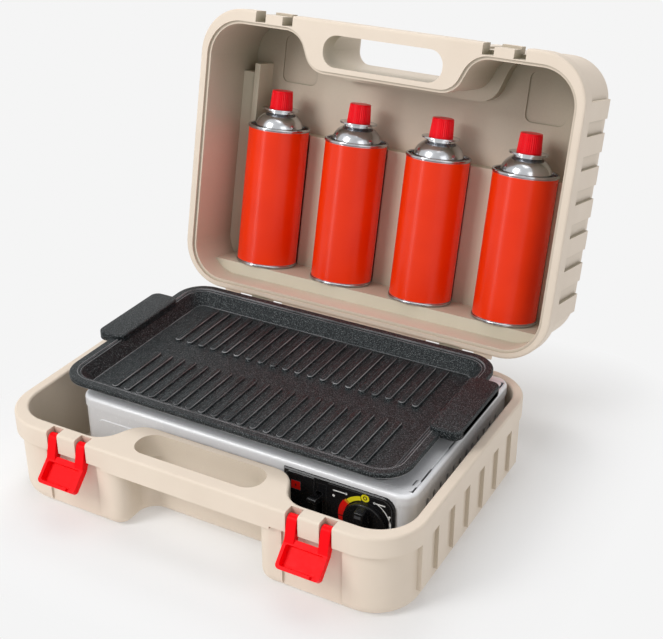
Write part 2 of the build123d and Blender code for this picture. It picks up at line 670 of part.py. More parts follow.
# ---------------------------------------------------------------- gas canisters
def build_canister(number, x):
    """Tin, domed top with its notched collar, valve and cap, lying in the lid's channel."""
    foot = LID.from_local_coords((x, CAN_FOOT_Y, CAN_Z))
    up = Axis(foot, -LID.y_dir)
    profile = Plane(origin=foot, x_dir=LID.x_dir, z_dir=LID.z_dir * -1)  # X is radius, Y is height
    chime_width = 2.6
    chime_height = 3.2
    chime_middle = CHIME_RADIUS - chime_width / 2
    with BuildPart() as tin:
        with BuildSketch(profile):
            with Locations((CAN_RADIUS - CAN_WALL / 2, CAN_LENGTH / 2)):
                Rectangle(CAN_WALL, CAN_LENGTH - chime_height)
            with Locations((chime_middle, chime_height / 2), (chime_middle, CAN_LENGTH - chime_height / 2)):
                RectangleRounded(chime_width, chime_height, 1.1)
            with BuildLine():
                Polyline(
                    (CAN_RADIUS - CAN_WALL / 2, chime_height),
                    (CAN_RADIUS - 4, chime_height),
                    (CAN_RADIUS - 6, chime_height + 3),
                    (0, chime_height + 3),
                    (0, chime_height + 3 + CAN_WALL),
                    (CAN_RADIUS - 6, chime_height + 3 + CAN_WALL),
                    (CAN_RADIUS - 4, chime_height + CAN_WALL),
                    (CAN_RADIUS - CAN_WALL / 2, chime_height + CAN_WALL),
                    close=True,
                )
            make_face()
        revolve(axis=up)
    save(tin, f"canister_{number}_tin")

    seam = CAN_LENGTH - 3.6
    collar = CAN_LENGTH + DOME_HEIGHT
    with BuildPart() as top:
        with BuildSketch(profile):
            with BuildLine():
                Polyline((CHIME_RADIUS - chime_width - SLIP, seam), (DOME_RADIUS, seam))
                ThreePointArc((DOME_RADIUS, seam), (DOME_RADIUS - 3.2, seam + 11), (15, collar - 3))
                Polyline(
                    (15, collar - 3),
                    (15, collar),
                    (COLLAR_RADIUS, collar),
                    (COLLAR_RADIUS, collar + 1.6),
                    (5, collar + 1.6),
                    (5, collar - 4),
                    (14, collar - 4),
                )
                ThreePointArc((14, collar - 4), (DOME_RADIUS - 4.3, seam + 10), (DOME_RADIUS - 1.2, seam - 1))
                Polyline(
                    (DOME_RADIUS - 1.2, seam - 1),
                    (CHIME_RADIUS - chime_width - SLIP, seam - 1),
                    (CHIME_RADIUS - chime_width - SLIP, seam),
                )
            make_face()
        revolve(axis=up)
        with BuildSketch(Plane(origin=up.position + up.direction * collar, x_dir=LID.x_dir, z_dir=up.direction)):
            with Locations((0, COLLAR_RADIUS)):
                Rectangle(6, 7)
        extrude(amount=2, mode=Mode.SUBTRACT)
    save(top, f"canister_{number}_top")

    with BuildPart() as valve:
        with BuildSketch(profile):
            with Locations((2.45, collar - 1.2)):
                Rectangle(4.9, 5.6)
            with Locations((1, collar + 6)):
                Rectangle(2, 9)
        revolve(axis=up)
    save(valve, f"canister_{number}_valve")

    cap_foot = collar + 1.6
    with BuildPart() as cap:
        with BuildSketch(profile):
            with BuildLine():
                Polyline(
                    (CAP_BASE_RADIUS - CAP_WALL, cap_foot),
                    (CAP_BASE_RADIUS, cap_foot),
                    (CAP_TOP_RADIUS, cap_foot + CAP_HEIGHT),
                    (0, cap_foot + CAP_HEIGHT),
                    (0, cap_foot + CAP_HEIGHT - CAP_WALL),
                    (CAP_TOP_RADIUS - CAP_WALL, cap_foot + CAP_HEIGHT - CAP_WALL),
                    close=True,
                )
            make_face()
        revolve(axis=up)
        fillet(cap.edges().group_by(up)[-1], 0.8)
    save(cap, f"canister_{number}_cap")


for index, can_x in enumerate(CAN_XS):
    build_canister(index + 1, can_x)

# ---------------------------------------------------------------- grill pan
with BuildPart() as pan_tab:
    with BuildSketch(Plane.XY.offset(PAN_TOP + TAB_RISE - TAB_THICK)):
        with Locations((PAN_WIDTH / 2 + (TAB_REACH - TAB_INSET) / 2, TAB_Y)):
            RectangleRounded(TAB_REACH + TAB_INSET, TAB_LENGTH, TAB_CORNER)
    extrude(amount=TAB_THICK)
    fillet(pan_tab.faces().sort_by(Axis.Z)[-1].edges(), TAB_ROUND)

with BuildPart() as grill_pan:
    with BuildSketch(Plane.XY.offset(PAN_TOP - PAN_RIM_THICK)):
        with Locations((0, PAN_CENTRE_Y)):
            RectangleRounded(PAN_WIDTH, PAN_DEPTH, PAN_CORNER)
    extrude(amount=PAN_RIM_THICK)
    fillet(grill_pan.faces().sort_by(Axis.Z)[-1].edges(), PAN_EDGE_ROUND)
    with BuildSketch(Plane.XY.offset(PAN_TOP - PAN_RIM_THICK)):
        with Locations((0, PAN_CENTRE_Y)):
            RectangleRounded(
                PAN_WIDTH - 2 * (PAN_RIM - PAN_WALL),
                PAN_DEPTH - 2 * (PAN_RIM - PAN_WALL),
                PAN_CORNER - PAN_RIM + PAN_WALL,
            )
    extrude(amount=-(PAN_HEIGHT - PAN_RIM_THICK), taper=PAN_TILT)
    fillet(grill_pan.faces().sort_by(Axis.Z)[0].edges(), PAN_EDGE_ROUND)
    add(pan_tab.part)
    add(pan_tab.part.mirror(Plane.YZ))
    with BuildSketch(Plane.XY.offset(PAN_TOP + TAB_RISE)):
        with Locations((0, PAN_CENTRE_Y)):
            RectangleRounded(
                PAN_WIDTH - 2 * PAN_STEP, PAN_DEPTH - 2 * PAN_STEP, PAN_CORNER - PAN_STEP
            )
    extrude(amount=-(TAB_RISE + PAN_STEP_DEPTH), mode=Mode.SUBTRACT)
    with BuildSketch(Plane.XY.offset(PAN_TOP - PAN_STEP_DEPTH)):
        with Locations((0, PAN_CENTRE_Y)):
            RectangleRounded(PAN_WIDTH - 2 * PAN_RIM, PAN_DEPTH - 2 * PAN_RIM, PAN_CORNER - PAN_RIM)
    extrude(amount=-(PAN_HEIGHT - PAN_FLOOR - PAN_STEP_DEPTH), taper=PAN_TILT, mode=Mode.SUBTRACT)
    with BuildSketch(Plane.XY.offset(PAN_LOW + PAN_FLOOR)):
        with Locations((0, PAN_CENTRE_Y)):
            with GridLocations(GRILL_PITCH, GRILL_ROWS_Y * 2, GRILL_RIBS, 2):
                SlotOverall(GRILL_RIB_LENGTH, GRILL_RIB_WIDTH, rotation=90)
    extrude(amount=GRILL_RIB_HEIGHT, taper=GRILL_RIB_TAPER)
save(grill_pan, "grill_pan")


# ---------------------------------------------------------------- stove housing
def front_plane(y):
    """Upright plane that faces the front: its axes are X and Z."""
    return Plane.XZ.offset(-y)


def stove_outline(inset, mode=Mode.ADD):
    with Locations((STOVE_X, STOVE_Y)):
        RectangleRounded(
            STOVE_WIDTH - 2 * inset, STOVE_DEPTH - 2 * inset, STOVE_CORNER - inset, mode=mode
        )


def well_outline(grow, mode=Mode.ADD):
    with Locations((WELL_X, WELL_Y)):
        RectangleRounded(WELL_WIDTH + 2 * grow, WELL_DEPTH + 2 * grow, WELL_CORNER + grow, mode=mode)


def panel_outline(grow=0):
    """The control panel's plate: square corners but for the top right one."""
    with Locations((PANEL_X, PANEL_Z)):
        Rectangle(PANEL_RIGHT - PANEL_LEFT + 2 * grow, PANEL_HIGH - PANEL_LOW + 2 * grow)


SCREW_PLACES = [
    (STOVE_LEFT + BODY_FACE + SHEET + FLANGE / 2, STOVE_Y),
    (STOVE_RIGHT - BODY_FACE - SHEET - FLANGE / 2, STOVE_Y),
    (STOVE_X, STOVE_FRONT + BODY_FACE + SHEET + FLANGE / 2),
    (STOVE_X, STOVE_BACK - BODY_FACE - SHEET - FLANGE / 2),
]

with BuildPart() as stove_body:
    with BuildSketch(Plane.XY.offset(STOVE_LOW)):
        stove_outline(BODY_FACE)
        stove_outline(BODY_FACE + SHEET, mode=Mode.SUBTRACT)
    extrude(amount=STOVE_TOP - TOP_ROUND - STOVE_LOW)
    with BuildSketch(Plane.XY.offset(BOTTOM_TOP)):
        stove_outline(BODY_FACE)
        stove_outline(BODY_FACE + SHEET + FLANGE, mode=Mode.SUBTRACT)
        with Locations(*SCREW_PLACES):
            Circle(SCREW_RADIUS + SCREW_CLEARANCE, mode=Mode.SUBTRACT)
    extrude(amount=SHEET)
    with BuildSketch(front_plane(BODY_FRONT)):
        panel_outline(-PANEL_LAP)
    extrude(amount=-SHEET, mode=Mode.SUBTRACT)
    with BuildSketch(front_plane(BODY_FRONT)):
        with Locations((EMBOSS_X, EMBOSS_Z)):
            RectangleRounded(EMBOSS_WIDTH, EMBOSS_HEIGHT, STOVE_CORNER / 2)
    extrude(amount=EMBOSS_RISE, taper=30)
    with BuildSketch(Plane.YZ):
        with Locations((STOVE_Y, VENT_Z)):
            with GridLocations(VENT_PITCH, VENT_HEIGHT, VENTS, 1):
                SlotOverall(VENT_HEIGHT, VENT_WIDTH, rotation=90)
    extrude(amount=STOVE_WIDTH, both=True, mode=Mode.SUBTRACT)
save(stove_body, "stove_body")

with BuildPart() as under_top:
    with BuildSketch(Plane.XY.offset(STOVE_TOP - SKIRT_HEIGHT)):
        stove_outline(SHEET)
    extrude(amount=SKIRT_HEIGHT - SHEET)
    fillet(under_top.faces().sort_by(Axis.Z)[-1].edges(), TOP_ROUND - SHEET)

with BuildPart() as stove_top:
    with BuildSketch(Plane.XY.offset(STOVE_TOP - SKIRT_HEIGHT)):
        stove_outline(0)
    extrude(amount=SKIRT_HEIGHT)
    fillet(stove_top.faces().sort_by(Axis.Z)[-1].edges(), TOP_ROUND)
    add(under_top.part, mode=Mode.SUBTRACT)
    with BuildSketch(Plane.XY.offset(STOVE_TOP - WELL_DROP)):
        well_outline(SHEET)
    extrude(amount=WELL_DROP - SHEET)
    with BuildSketch(Plane.XY.offset(WELL_FLOOR)):
        well_outline(0)
    extrude(amount=WELL_DROP, mode=Mode.SUBTRACT)
    with BuildSketch(Plane.XY.offset(STOVE_TOP - WELL_DROP)):
        well_outline(-WELL_LEDGE)
    extrude(amount=WELL_DROP, mode=Mode.SUBTRACT)
    with BuildSketch(Plane.XY.offset(STOVE_TOP)):
        with Locations(((DOOR_LEFT - DOOR_GAP + DOOR_RIGHT + DOOR_SWEEP) / 2, DOOR_MIDDLE)):
            RectangleRounded(
                DOOR_RIGHT + DOOR_SWEEP - DOOR_LEFT + DOOR_GAP,
                DOOR_BACK - DOOR_FRONT + 2 * DOOR_GAP,
                DOOR_CORNER,
            )
        with Locations(((DOOR_AXIS_X + DOOR_RIGHT + DOOR_SWEEP) / 2, DOOR_MIDDLE)):
            Rectangle(DOOR_RIGHT + DOOR_SWEEP - DOOR_AXIS_X, DOOR_BACK - DOOR_FRONT + 2 * DOOR_GAP)
    extrude(amount=-SHEET, mode=Mode.SUBTRACT)
    with BuildSketch(front_plane(BODY_FRONT - SLIP / 2)):
        with Locations((PANEL_X, (PANEL_HIGH + PANEL_GAP) / 2)):
            Rectangle(PANEL_RIGHT - PANEL_LEFT + 2 * PANEL_GAP, PANEL_HIGH + PANEL_GAP)
    extrude(amount=PANEL_THICK, mode=Mode.SUBTRACT)
    for index in range(DOOR_EARS):
        middle = DOOR_MIDDLE + (index - (DOOR_EARS - 1) / 2) * DOOR_EAR_PITCH
        with BuildSketch(front_plane(middle + DOOR_EAR_WIDTH / 2)):
            with Locations((DOOR_AXIS_X, DOOR_AXIS_Z)):
                Circle(DOOR_KNUCKLE)
            with BuildLine():
                Polyline(
                    (DOOR_AXIS_X, DOOR_AXIS_Z - DOOR_KNUCKLE / 3),
                    (STOVE_RIGHT - SHEET * 0.8, DOOR_AXIS_Z - DOOR_KNUCKLE / 3),
                    (STOVE_RIGHT - SHEET * 0.8, DOOR_AXIS_Z + SHEET),
                    (DOOR_AXIS_X, DOOR_AXIS_Z + SHEET),
                    close=True,
                )
            make_face()
            with Locations((DOOR_AXIS_X, DOOR_AXIS_Z)):
                Circle(DOOR_PIN_RADIUS + PIN_CLEARANCE, mode=Mode.SUBTRACT)
        extrude(amount=DOOR_EAR_WIDTH)
save(stove_top, "stove_top")

with BuildPart() as bottom_plate:
    with BuildSketch(Plane.XY.offset(STOVE_LOW)):
        stove_outline(BODY_FACE + SHEET + SLIP)
        with Locations(*SCREW_PLACES):
            Circle(SCREW_RADIUS + SCREW_CLEARANCE, mode=Mode.SUBTRACT)
        with Locations((STOVE_X, STOVE_Y)):
            with GridLocations(STOVE_WIDTH / 10, STOVE_DEPTH / 3, 6, 2):
                SlotOverall(STOVE_DEPTH / 5, VENT_WIDTH, rotation=90, mode=Mode.SUBTRACT)
    extrude(amount=SHEET)
save(bottom_plate, "bottom_plate")

with BuildPart() as rubber_feet:
    with BuildSketch(Plane.XY.offset(BASE_FLOOR)):
        with Locations(*FOOT_PLACES):
            Circle(FOOT_RADIUS)
    extrude(amount=FOOT_HEIGHT)
    chamfer(rubber_feet.edges().group_by(Axis.Z)[0], FOOT_HEIGHT / 5)
save(rubber_feet, "rubber_feet")

with BuildPart() as screws:
    with BuildSketch(Plane.XY.offset(STOVE_LOW - SCREW_RADIUS)):
        with Locations(*SCREW_PLACES):
            Circle(SCREW_HEAD)
    extrude(amount=SCREW_RADIUS)
    fillet(screws.edges().group_by(Axis.Z)[0], SCREW_RADIUS / 2)
    with BuildSketch(Plane.XY.offset(STOVE_LOW)):
        with Locations(*SCREW_PLACES):
            Circle(SCREW_RADIUS)
    extrude(amount=SCREW_LENGTH)
save(screws, "screws")

# ---------------------------------------------------------------- burner and pan support
with BuildPart() as drip_tray:
    with BuildSketch(Plane.XY.offset(WELL_FLOOR)):
        well_outline(-TRAY_GAP)
    extrude(amount=TRAY_RIM)
    with BuildSketch(Plane.XY.offset(TRAY_TOP)):
        well_outline(-TRAY_GAP - SHEET)
    extrude(amount=TRAY_RIM, mode=Mode.SUBTRACT)
    with BuildSketch(Plane.XY.offset(WELL_FLOOR)):
        with Locations((BURNER_X, BURNER_Y)):
            Circle(BURNER_RADIUS + 2 * SHEET + TRAY_GAP)
        with Locations((ELECTRODE_X, ELECTRODE_Y)):
            Circle(ELECTRODE_RADIUS + SHEET + TRAY_GAP)
    extrude(amount=2 * SHEET)
    with BuildSketch(Plane.XY.offset(WELL_FLOOR)):
        with Locations((BURNER_X, BURNER_Y)):
            Circle(BURNER_RADIUS + TRAY_GAP)
        with Locations((ELECTRODE_X, ELECTRODE_Y)):
            Circle(ELECTRODE_RADIUS + TRAY_GAP)
    extrude(amount=TRAY_RIM, mode=Mode.SUBTRACT)
save(drip_tray, "drip_tray")

with BuildPart() as pan_support:
    with BuildSketch(Plane.XY.offset(TRAY_TOP)):
        with Locations((BURNER_X, BURNER_Y)):
            Circle(RING_RADIUS)
            Circle(RING_RADIUS - RING_WIDTH, mode=Mode.SUBTRACT)
    extrude(amount=RING_HEIGHT)
    for angle in (45, 135, 225, 315):
        radial = Plane(
            origin=(BURNER_X, BURNER_Y, 0),
            x_dir=(cos(radians(angle)), sin(radians(angle)), 0),
            z_dir=(sin(radians(angle)), -cos(radians(angle)), 0),
        )
        with BuildSketch(radial):
            with BuildLine():
                Polyline(
                    (ARM_IN, PAN_LOW - RING_HEIGHT),
                    (ARM_IN + RING_WIDTH, PAN_LOW),
                    (ARM_OUT - RING_WIDTH, PAN_LOW),
                    (ARM_OUT, PAN_LOW - RING_WIDTH),
                    (ARM_OUT, TRAY_TOP),
                    (RING_RADIUS - RING_WIDTH, TRAY_TOP),
                    (RING_RADIUS - RING_WIDTH, TRAY_TOP + RING_HEIGHT),
                    close=True,
                )
            make_face()
        extrude(amount=ARM_THICK / 2, both=True)
save(pan_support, "pan_support")

BURNER_AXIS = Axis((BURNER_X, BURNER_Y, 0), (0, 0, 1))
BURNER_SECTION = Plane(origin=(BURNER_X, BURNER_Y, 0), x_dir=(1, 0, 0), z_dir=(0, -1, 0))
TUBE_START = Vector(TUBE_START_X, TUBE_START_Y, TUBE_Z)
TUBE_END = Vector(BURNER_X, BURNER_Y, TUBE_Z)
TUBE_ALONG = (TUBE_END - TUBE_START).normalized()
TUBE_LENGTH = (TUBE_END - TUBE_START).length
TUBE_PLANE = Plane(origin=TUBE_START, x_dir=(0, 0, 1), z_dir=TUBE_ALONG)

with BuildPart() as burner_body:
    with BuildSketch(BURNER_SECTION):
        with BuildLine():
            Polyline(
                (0, CUP_LOW),
                (CUP_RADIUS - CUP_WALL, CUP_LOW),
                (CUP_RADIUS, CUP_LOW + CUP_WALL),
                (CUP_RADIUS, BURNER_Z - 2 * CUP_WALL),
                (BURNER_RADIUS, BURNER_Z - CUP_WALL),
                (BURNER_RADIUS, BURNER_Z),
                (0, BURNER_Z),
                close=True,
            )
        make_face()
    revolve(axis=BURNER_AXIS)
    with BuildSketch(TUBE_PLANE):
        Circle(TUBE_RADIUS)
    extrude(amount=TUBE_LENGTH)
    with BuildSketch(TUBE_PLANE):
        Circle(BELL_RADIUS)
    extrude(amount=BELL_LENGTH)
    with BuildSketch(Plane.XY.offset(CUP_LOW + CUP_WALL)):
        with Locations((BURNER_X, BURNER_Y)):
            Circle(CUP_RADIUS - CUP_WALL)
    extrude(amount=BURNER_Z, mode=Mode.SUBTRACT)
    with BuildSketch(TUBE_PLANE):
        Circle(TUBE_BORE)
    extrude(amount=TUBE_LENGTH, mode=Mode.SUBTRACT)
save(burner_body, "burner_body")

with BuildPart() as burner_cap:
    with BuildSketch(BURNER_SECTION):
        with BuildLine():
            Polyline(
                (CUP_RADIUS - CUP_WALL - SLIP - 2, BURNER_Z - CUP_WALL),
                (CUP_RADIUS - CUP_WALL - SLIP, BURNER_Z - CUP_WALL),
                (CUP_RADIUS - CUP_WALL - SLIP, BURNER_Z),
                (BURNER_RADIUS, BURNER_Z),
                (BURNER_RADIUS, BURNER_Z + CAP_RISE - 2),
                (BURNER_RADIUS - 3, BURNER_Z + CAP_RISE),
                (CUP_WALL * 2, BURNER_Z + CAP_RISE),
                (0, BURNER_Z + CAP_RISE - 1),
                (0, BURNER_Z + CAP_RISE - 3),
                (CUP_RADIUS - CUP_WALL - SLIP - 2, BURNER_Z + CAP_RISE - 3),
                close=True,
            )
        make_face()
    revolve(axis=BURNER_AXIS)
    with BuildSketch(Plane.XY.offset(BURNER_Z)):
        with Locations((BURNER_X, BURNER_Y)):
            with PolarLocations(CUP_RADIUS + CUP_WALL, PORTS):
                Rectangle(4 * CUP_WALL, PORT_WIDTH)
    extrude(amount=PORT_HEIGHT, mode=Mode.SUBTRACT)
save(burner_cap, "burner_cap")

with BuildPart() as electrode:
    with BuildSketch(Plane.XY.offset(ELECTRODE_LOW)):
        with Locations((ELECTRODE_X, ELECTRODE_Y)):
            Circle(ELECTRODE_RADIUS)
    extrude(amount=ELECTRODE_TOP - ELECTRODE_LOW)
    tip = Vector(BURNER_X - ELECTRODE_X, BURNER_Y - ELECTRODE_Y, 0).normalized()
    tip_foot = Vector(ELECTRODE_X, ELECTRODE_Y, ELECTRODE_TOP - ELECTRODE_RADIUS)
    with BuildSketch(Plane(origin=tip_foot, x_dir=(0, 0, 1), z_dir=tip)):
        Circle(WIRE_RADIUS)
    extrude(amount=ELECTRODE_TIP)
save(electrode, "electrode")

# ---------------------------------------------------------------- control panel, knob and lever
with BuildPart() as control_panel:
    with BuildSketch(front_plane(BODY_FRONT)) as panel_face:
        panel_outline()
        fillet(panel_face.vertices().group_by(Axis.X)[-1].sort_by(Axis.Z)[-1:], PANEL_ROUND)
    extrude(amount=PANEL_THICK)
    chamfer(control_panel.faces().sort_by(Axis.Y)[0].edges(), PANEL_THICK / 3)
    label_left = PANEL_LEFT + LABEL_INSET
    label_height = PANEL_HIGH - PANEL_LOW - 2 * LABEL_INSET
    with BuildSketch(front_plane(PANEL_FRONT)) as label_face:
        with Locations(((label_left + LABEL_RIGHT) / 2, PANEL_Z)):
            Rectangle(LABEL_RIGHT - label_left, label_height)
        chamfer(label_face.vertices().group_by(Axis.X)[0].sort_by(Axis.Z)[-1:], LABEL_CHAMFER)
    extrude(amount=LABEL_RISE)
    chamfer(control_panel.faces().sort_by(Axis.Y)[0].edges(), LABEL_RISE / 2)
    with BuildSketch(front_plane(PANEL_FRONT)):
        with Locations(((LABEL_RIGHT + CHANNEL_RIGHT) / 2, PANEL_Z)):
            Rectangle(CHANNEL_RIGHT - LABEL_RIGHT, label_height - 2 * LABEL_CHAMFER)
    extrude(amount=-CHANNEL_DEPTH, mode=Mode.SUBTRACT)
    for x in (LEVER_X - LEVER_WIDTH / 2 - EAR_GAP - EAR_THICK, LEVER_X + LEVER_WIDTH / 2 + EAR_GAP):
        with BuildSketch(side_plane(Plane.XY, x)):
            with Locations((LEVER_PIVOT_Y, LEVER_PIVOT_Z)):
                Circle(LEVER_ROOT)
            with Locations((BODY_FRONT + EAR_THICK / 2, LEVER_PIVOT_Z)):
                Rectangle(EAR_THICK, 3 * LEVER_ROOT)
            make_hull()
            with Locations((LEVER_PIVOT_Y, LEVER_PIVOT_Z)):
                Circle(LATCH_PIN_RADIUS + PIN_CLEARANCE, mode=Mode.SUBTRACT)
        extrude(amount=EAR_THICK)
    with BuildSketch(front_plane(BODY_FRONT)):
        with Locations((LEVER_X, LEVER_PIVOT_Z)):
            RectangleRounded(LEVER_WIDTH + 2 * EAR_GAP, SLOT_HEIGHT, EAR_GAP)
        with Locations((KNOB_X, KNOB_Z)):
            Circle(SPINDLE_RADIUS + PANEL_GAP)
    extrude(amount=PANEL_THICK, mode=Mode.SUBTRACT)
save(control_panel, "control_panel")

LEVER_PIVOT = Vector(LEVER_X, LEVER_PIVOT_Y, LEVER_PIVOT_Z)
LEVER_ALONG = Vector(0, -cos(radians(LEVER_SWING)), sin(radians(LEVER_SWING)))
with BuildPart() as lock_lever:
    blade = Plane(origin=LEVER_PIVOT, x_dir=LEVER_ALONG, z_dir=(1, 0, 0))
    with BuildSketch(blade):
        Circle(LEVER_ROOT)
        with Locations((LEVER_REACH - PADDLE_LENGTH, 0)):
            Circle(LEVER_TIP)
        make_hull()
    extrude(amount=LEVER_WIDTH / 2, both=True)
    with BuildSketch(blade):
        with Locations((LEVER_REACH - PADDLE_LENGTH / 2, 0)):
            RectangleRounded(PADDLE_LENGTH, PADDLE_THICK, PADDLE_THICK / 2 - SLIP)
    extrude(amount=PADDLE_WIDTH / 2, both=True)
    with BuildSketch(blade):
        Circle(LATCH_PIN_RADIUS + PIN_CLEARANCE)
    extrude(amount=LEVER_WIDTH, both=True, mode=Mode.SUBTRACT)
save(lock_lever, "lock_lever")

with BuildPart() as lever_pin:
    reach = LEVER_WIDTH / 2 + EAR_GAP + EAR_THICK
    with BuildSketch(side_plane(Plane.XY, LEVER_X)):
        with Locations((LEVER_PIVOT_Y, LEVER_PIVOT_Z)):
            Circle(LATCH_PIN_RADIUS)
    extrude(amount=reach, both=True)
save(lever_pin, "lever_pin")

with BuildPart() as control_knob:
    with BuildSketch(front_plane(PANEL_FRONT - PANEL_GAP)):
        with Locations((KNOB_X, KNOB_Z)):
            Circle(KNOB_RADIUS)
    extrude(amount=KNOB_BASE)
    fillet(control_knob.faces().sort_by(Axis.Y)[0].edges(), KNOB_BASE / 4)
    with BuildSketch(front_plane(PANEL_FRONT - PANEL_GAP - KNOB_BASE)):
        with Locations((KNOB_X, KNOB_Z)):
            RectangleRounded(GRIP_WIDTH, 2 * KNOB_RADIUS - KNOB_BASE / 2, GRIP_WIDTH / 4)
    extrude(amount=KNOB_DEPTH - KNOB_BASE, taper=3)
    fillet(control_knob.faces().sort_by(Axis.Y)[0].edges(), KNOB_BASE / 4)
    with BuildSketch(front_plane(PANEL_FRONT - PANEL_GAP)):
        with Locations((KNOB_X, KNOB_Z)):
            Circle(SPINDLE_RADIUS + PIN_CLEARANCE)
    extrude(amount=SPINDLE_GRIP, mode=Mode.SUBTRACT)
save(control_knob, "control_knob")

# ---------------------------------------------------------------- gas valve and cartridge bay
VALVE_FRONT = SOCKET_Y - VALVE_DEPTH
JET_BACK = (TUBE_START_X - KNOB_X + VALVE_WIDTH / 2) / TUBE_ALONG.X * -1 + JET_REACH
with BuildPart() as gas_valve:
    with BuildSketch(front_plane(SOCKET_Y)):
        with Locations((KNOB_X, (VALVE_LOW + VALVE_HIGH) / 2)):
            RectangleRounded(VALVE_WIDTH, VALVE_HIGH - VALVE_LOW, VALVE_WIDTH / 8)
    extrude(amount=VALVE_DEPTH)
    with BuildSketch(front_plane(VALVE_FRONT)):
        with Locations((KNOB_X, KNOB_Z)):
            Circle(NECK_RADIUS)
    extrude(amount=VALVE_FRONT - BODY_FRONT)
    with BuildSketch(front_plane(SOCKET_Y)):
        with Locations((BAY_X, BAY_Z)):
            Circle(NOZZLE_RADIUS)
    extrude(amount=-NOZZLE_LENGTH)
    with BuildSketch(front_plane(SOCKET_Y - NOZZLE_LENGTH)):
        with Locations((BAY_X, BAY_Z)):
            Circle(NOZZLE_RADIUS / 3)
    extrude(amount=-4 * NOZZLE_LENGTH, mode=Mode.SUBTRACT)
    with BuildSketch(front_plane(VALVE_FRONT + SPINDLE_GRIP)):
        with Locations((KNOB_X, KNOB_Z)):
            Circle(SPINDLE_RADIUS + PIN_CLEARANCE)
    extrude(amount=2 * SPINDLE_GRIP, mode=Mode.SUBTRACT)
    with BuildSketch(TUBE_PLANE):
        Circle(JET_RADIUS + PIN_CLEARANCE)
    extrude(amount=-JET_BACK, mode=Mode.SUBTRACT)
save(gas_valve, "gas_valve")

with BuildPart() as valve_spindle:
    with BuildSketch(front_plane(VALVE_FRONT + SPINDLE_GRIP)):
        with Locations((KNOB_X, KNOB_Z)):
            Circle(SPINDLE_RADIUS)
    extrude(amount=VALVE_FRONT + 2 * SPINDLE_GRIP - PANEL_FRONT + PANEL_GAP)
save(valve_spindle, "valve_spindle")

with BuildPart() as jet:
    with BuildSketch(TUBE_PLANE):
        Circle(JET_RADIUS)
    extrude(amount=-JET_BACK + SLIP)
    with BuildSketch(TUBE_PLANE.offset(-BELL_LENGTH)):
        RegularPolygon(JET_HEX / 2, 6)
    extrude(amount=BELL_LENGTH)
    with BuildSketch(TUBE_PLANE):
        Circle(JET_RADIUS)
        Circle(WIRE_RADIUS, mode=Mode.SUBTRACT)
    extrude(amount=JET_REACH)
save(jet, "jet")

with BuildPart() as cartridge_socket:
    with BuildSketch(front_plane(SOCKET_Y + SOCKET_THICK)):
        with Locations((BAY_X, (BOTTOM_TOP + SOCKET_TOP) / 2)):
            Rectangle(SOCKET_WIDTH, SOCKET_TOP - BOTTOM_TOP)
        with Locations((BAY_X, BAY_Z)):
            Circle(NOZZLE_RADIUS + SLIP, mode=Mode.SUBTRACT)
    extrude(amount=SOCKET_THICK)
    fillet(cartridge_socket.edges().filter_by(Axis.Y).group_by(Axis.Z)[-1], SOCKET_FOOT / 2)
    with BuildSketch(Plane.XY.offset(BOTTOM_TOP)):
        with Locations((BAY_X, SOCKET_Y - SOCKET_FOOT / 2)):
            Rectangle(SOCKET_WIDTH, SOCKET_FOOT)
    extrude(amount=SOCKET_THICK)
save(cartridge_socket, "cartridge_socket")

with BuildPart() as cartridge_carrier:
    with BuildSketch(Plane.XY.offset(BOTTOM_TOP + CARRIER_GAP)):
        with Locations((BAY_X, CARRIER_Y + CARRIER_LENGTH / 2)):
            Rectangle(CARRIER_WIDTH, CARRIER_LENGTH)
    extrude(amount=SHEET)
    with BuildSketch(front_plane(CARRIER_Y + SOCKET_THICK)):
        with Locations((BAY_X, (BOTTOM_TOP + CARRIER_GAP + CARRIER_HIGH) / 2)):
            Rectangle(CARRIER_WIDTH, CARRIER_HIGH - BOTTOM_TOP - CARRIER_GAP)
        with Locations(((TONGUE_LEFT + BAY_X) / 2, TONGUE_LOW + TONGUE_HEIGHT / 2)):
            Rectangle(BAY_X - TONGUE_LEFT, TONGUE_HEIGHT)
        with Locations((BAY_X, BAY_Z)):
            Circle(CARRIER_NOTCH, mode=Mode.SUBTRACT)
        with Locations((BAY_X, BAY_Z + CARRIER_NOTCH)):
            Rectangle(2 * CARRIER_NOTCH, 2 * CARRIER_NOTCH, mode=Mode.SUBTRACT)
    extrude(amount=SOCKET_THICK)
save(cartridge_carrier, "cartridge_carrier")

with BuildPart() as heat_shield:
    back = STOVE_BACK - BODY_FACE - SHEET - FLANGE - DOOR_GAP
    with BuildSketch(Plane.YZ.offset(SHIELD_X)):
        with Locations(((SHIELD_FRONT + back) / 2, (BOTTOM_TOP + STOVE_TOP - SHEET) / 2)):
            Rectangle(back - SHIELD_FRONT, STOVE_TOP - SHEET - BOTTOM_TOP)
            with GridLocations(2 * VENT_PITCH, VENT_HEIGHT, 5, 1):
                SlotOverall(2 * VENT_HEIGHT, VENT_WIDTH, rotation=90, mode=Mode.SUBTRACT)
    extrude(amount=SHEET)
    with BuildSketch(Plane.XY.offset(BOTTOM_TOP)):
        with Locations((SHIELD_X - SOCKET_FOOT / 2, (SHIELD_FRONT + back) / 2)):
            Rectangle(SOCKET_FOOT, back - SHIELD_FRONT)
    extrude(amount=SHEET)
save(heat_shield, "heat_shield")

with BuildPart() as igniter:
    with BuildSketch(front_plane(BODY_FRONT + IGNITER_DEPTH)):
        with Locations((IGNITER_X, IGNITER_Z)):
            RectangleRounded(IGNITER_WIDTH, IGNITER_HEIGHT, PANEL_THICK)
    extrude(amount=IGNITER_DEPTH)
save(igniter, "igniter")

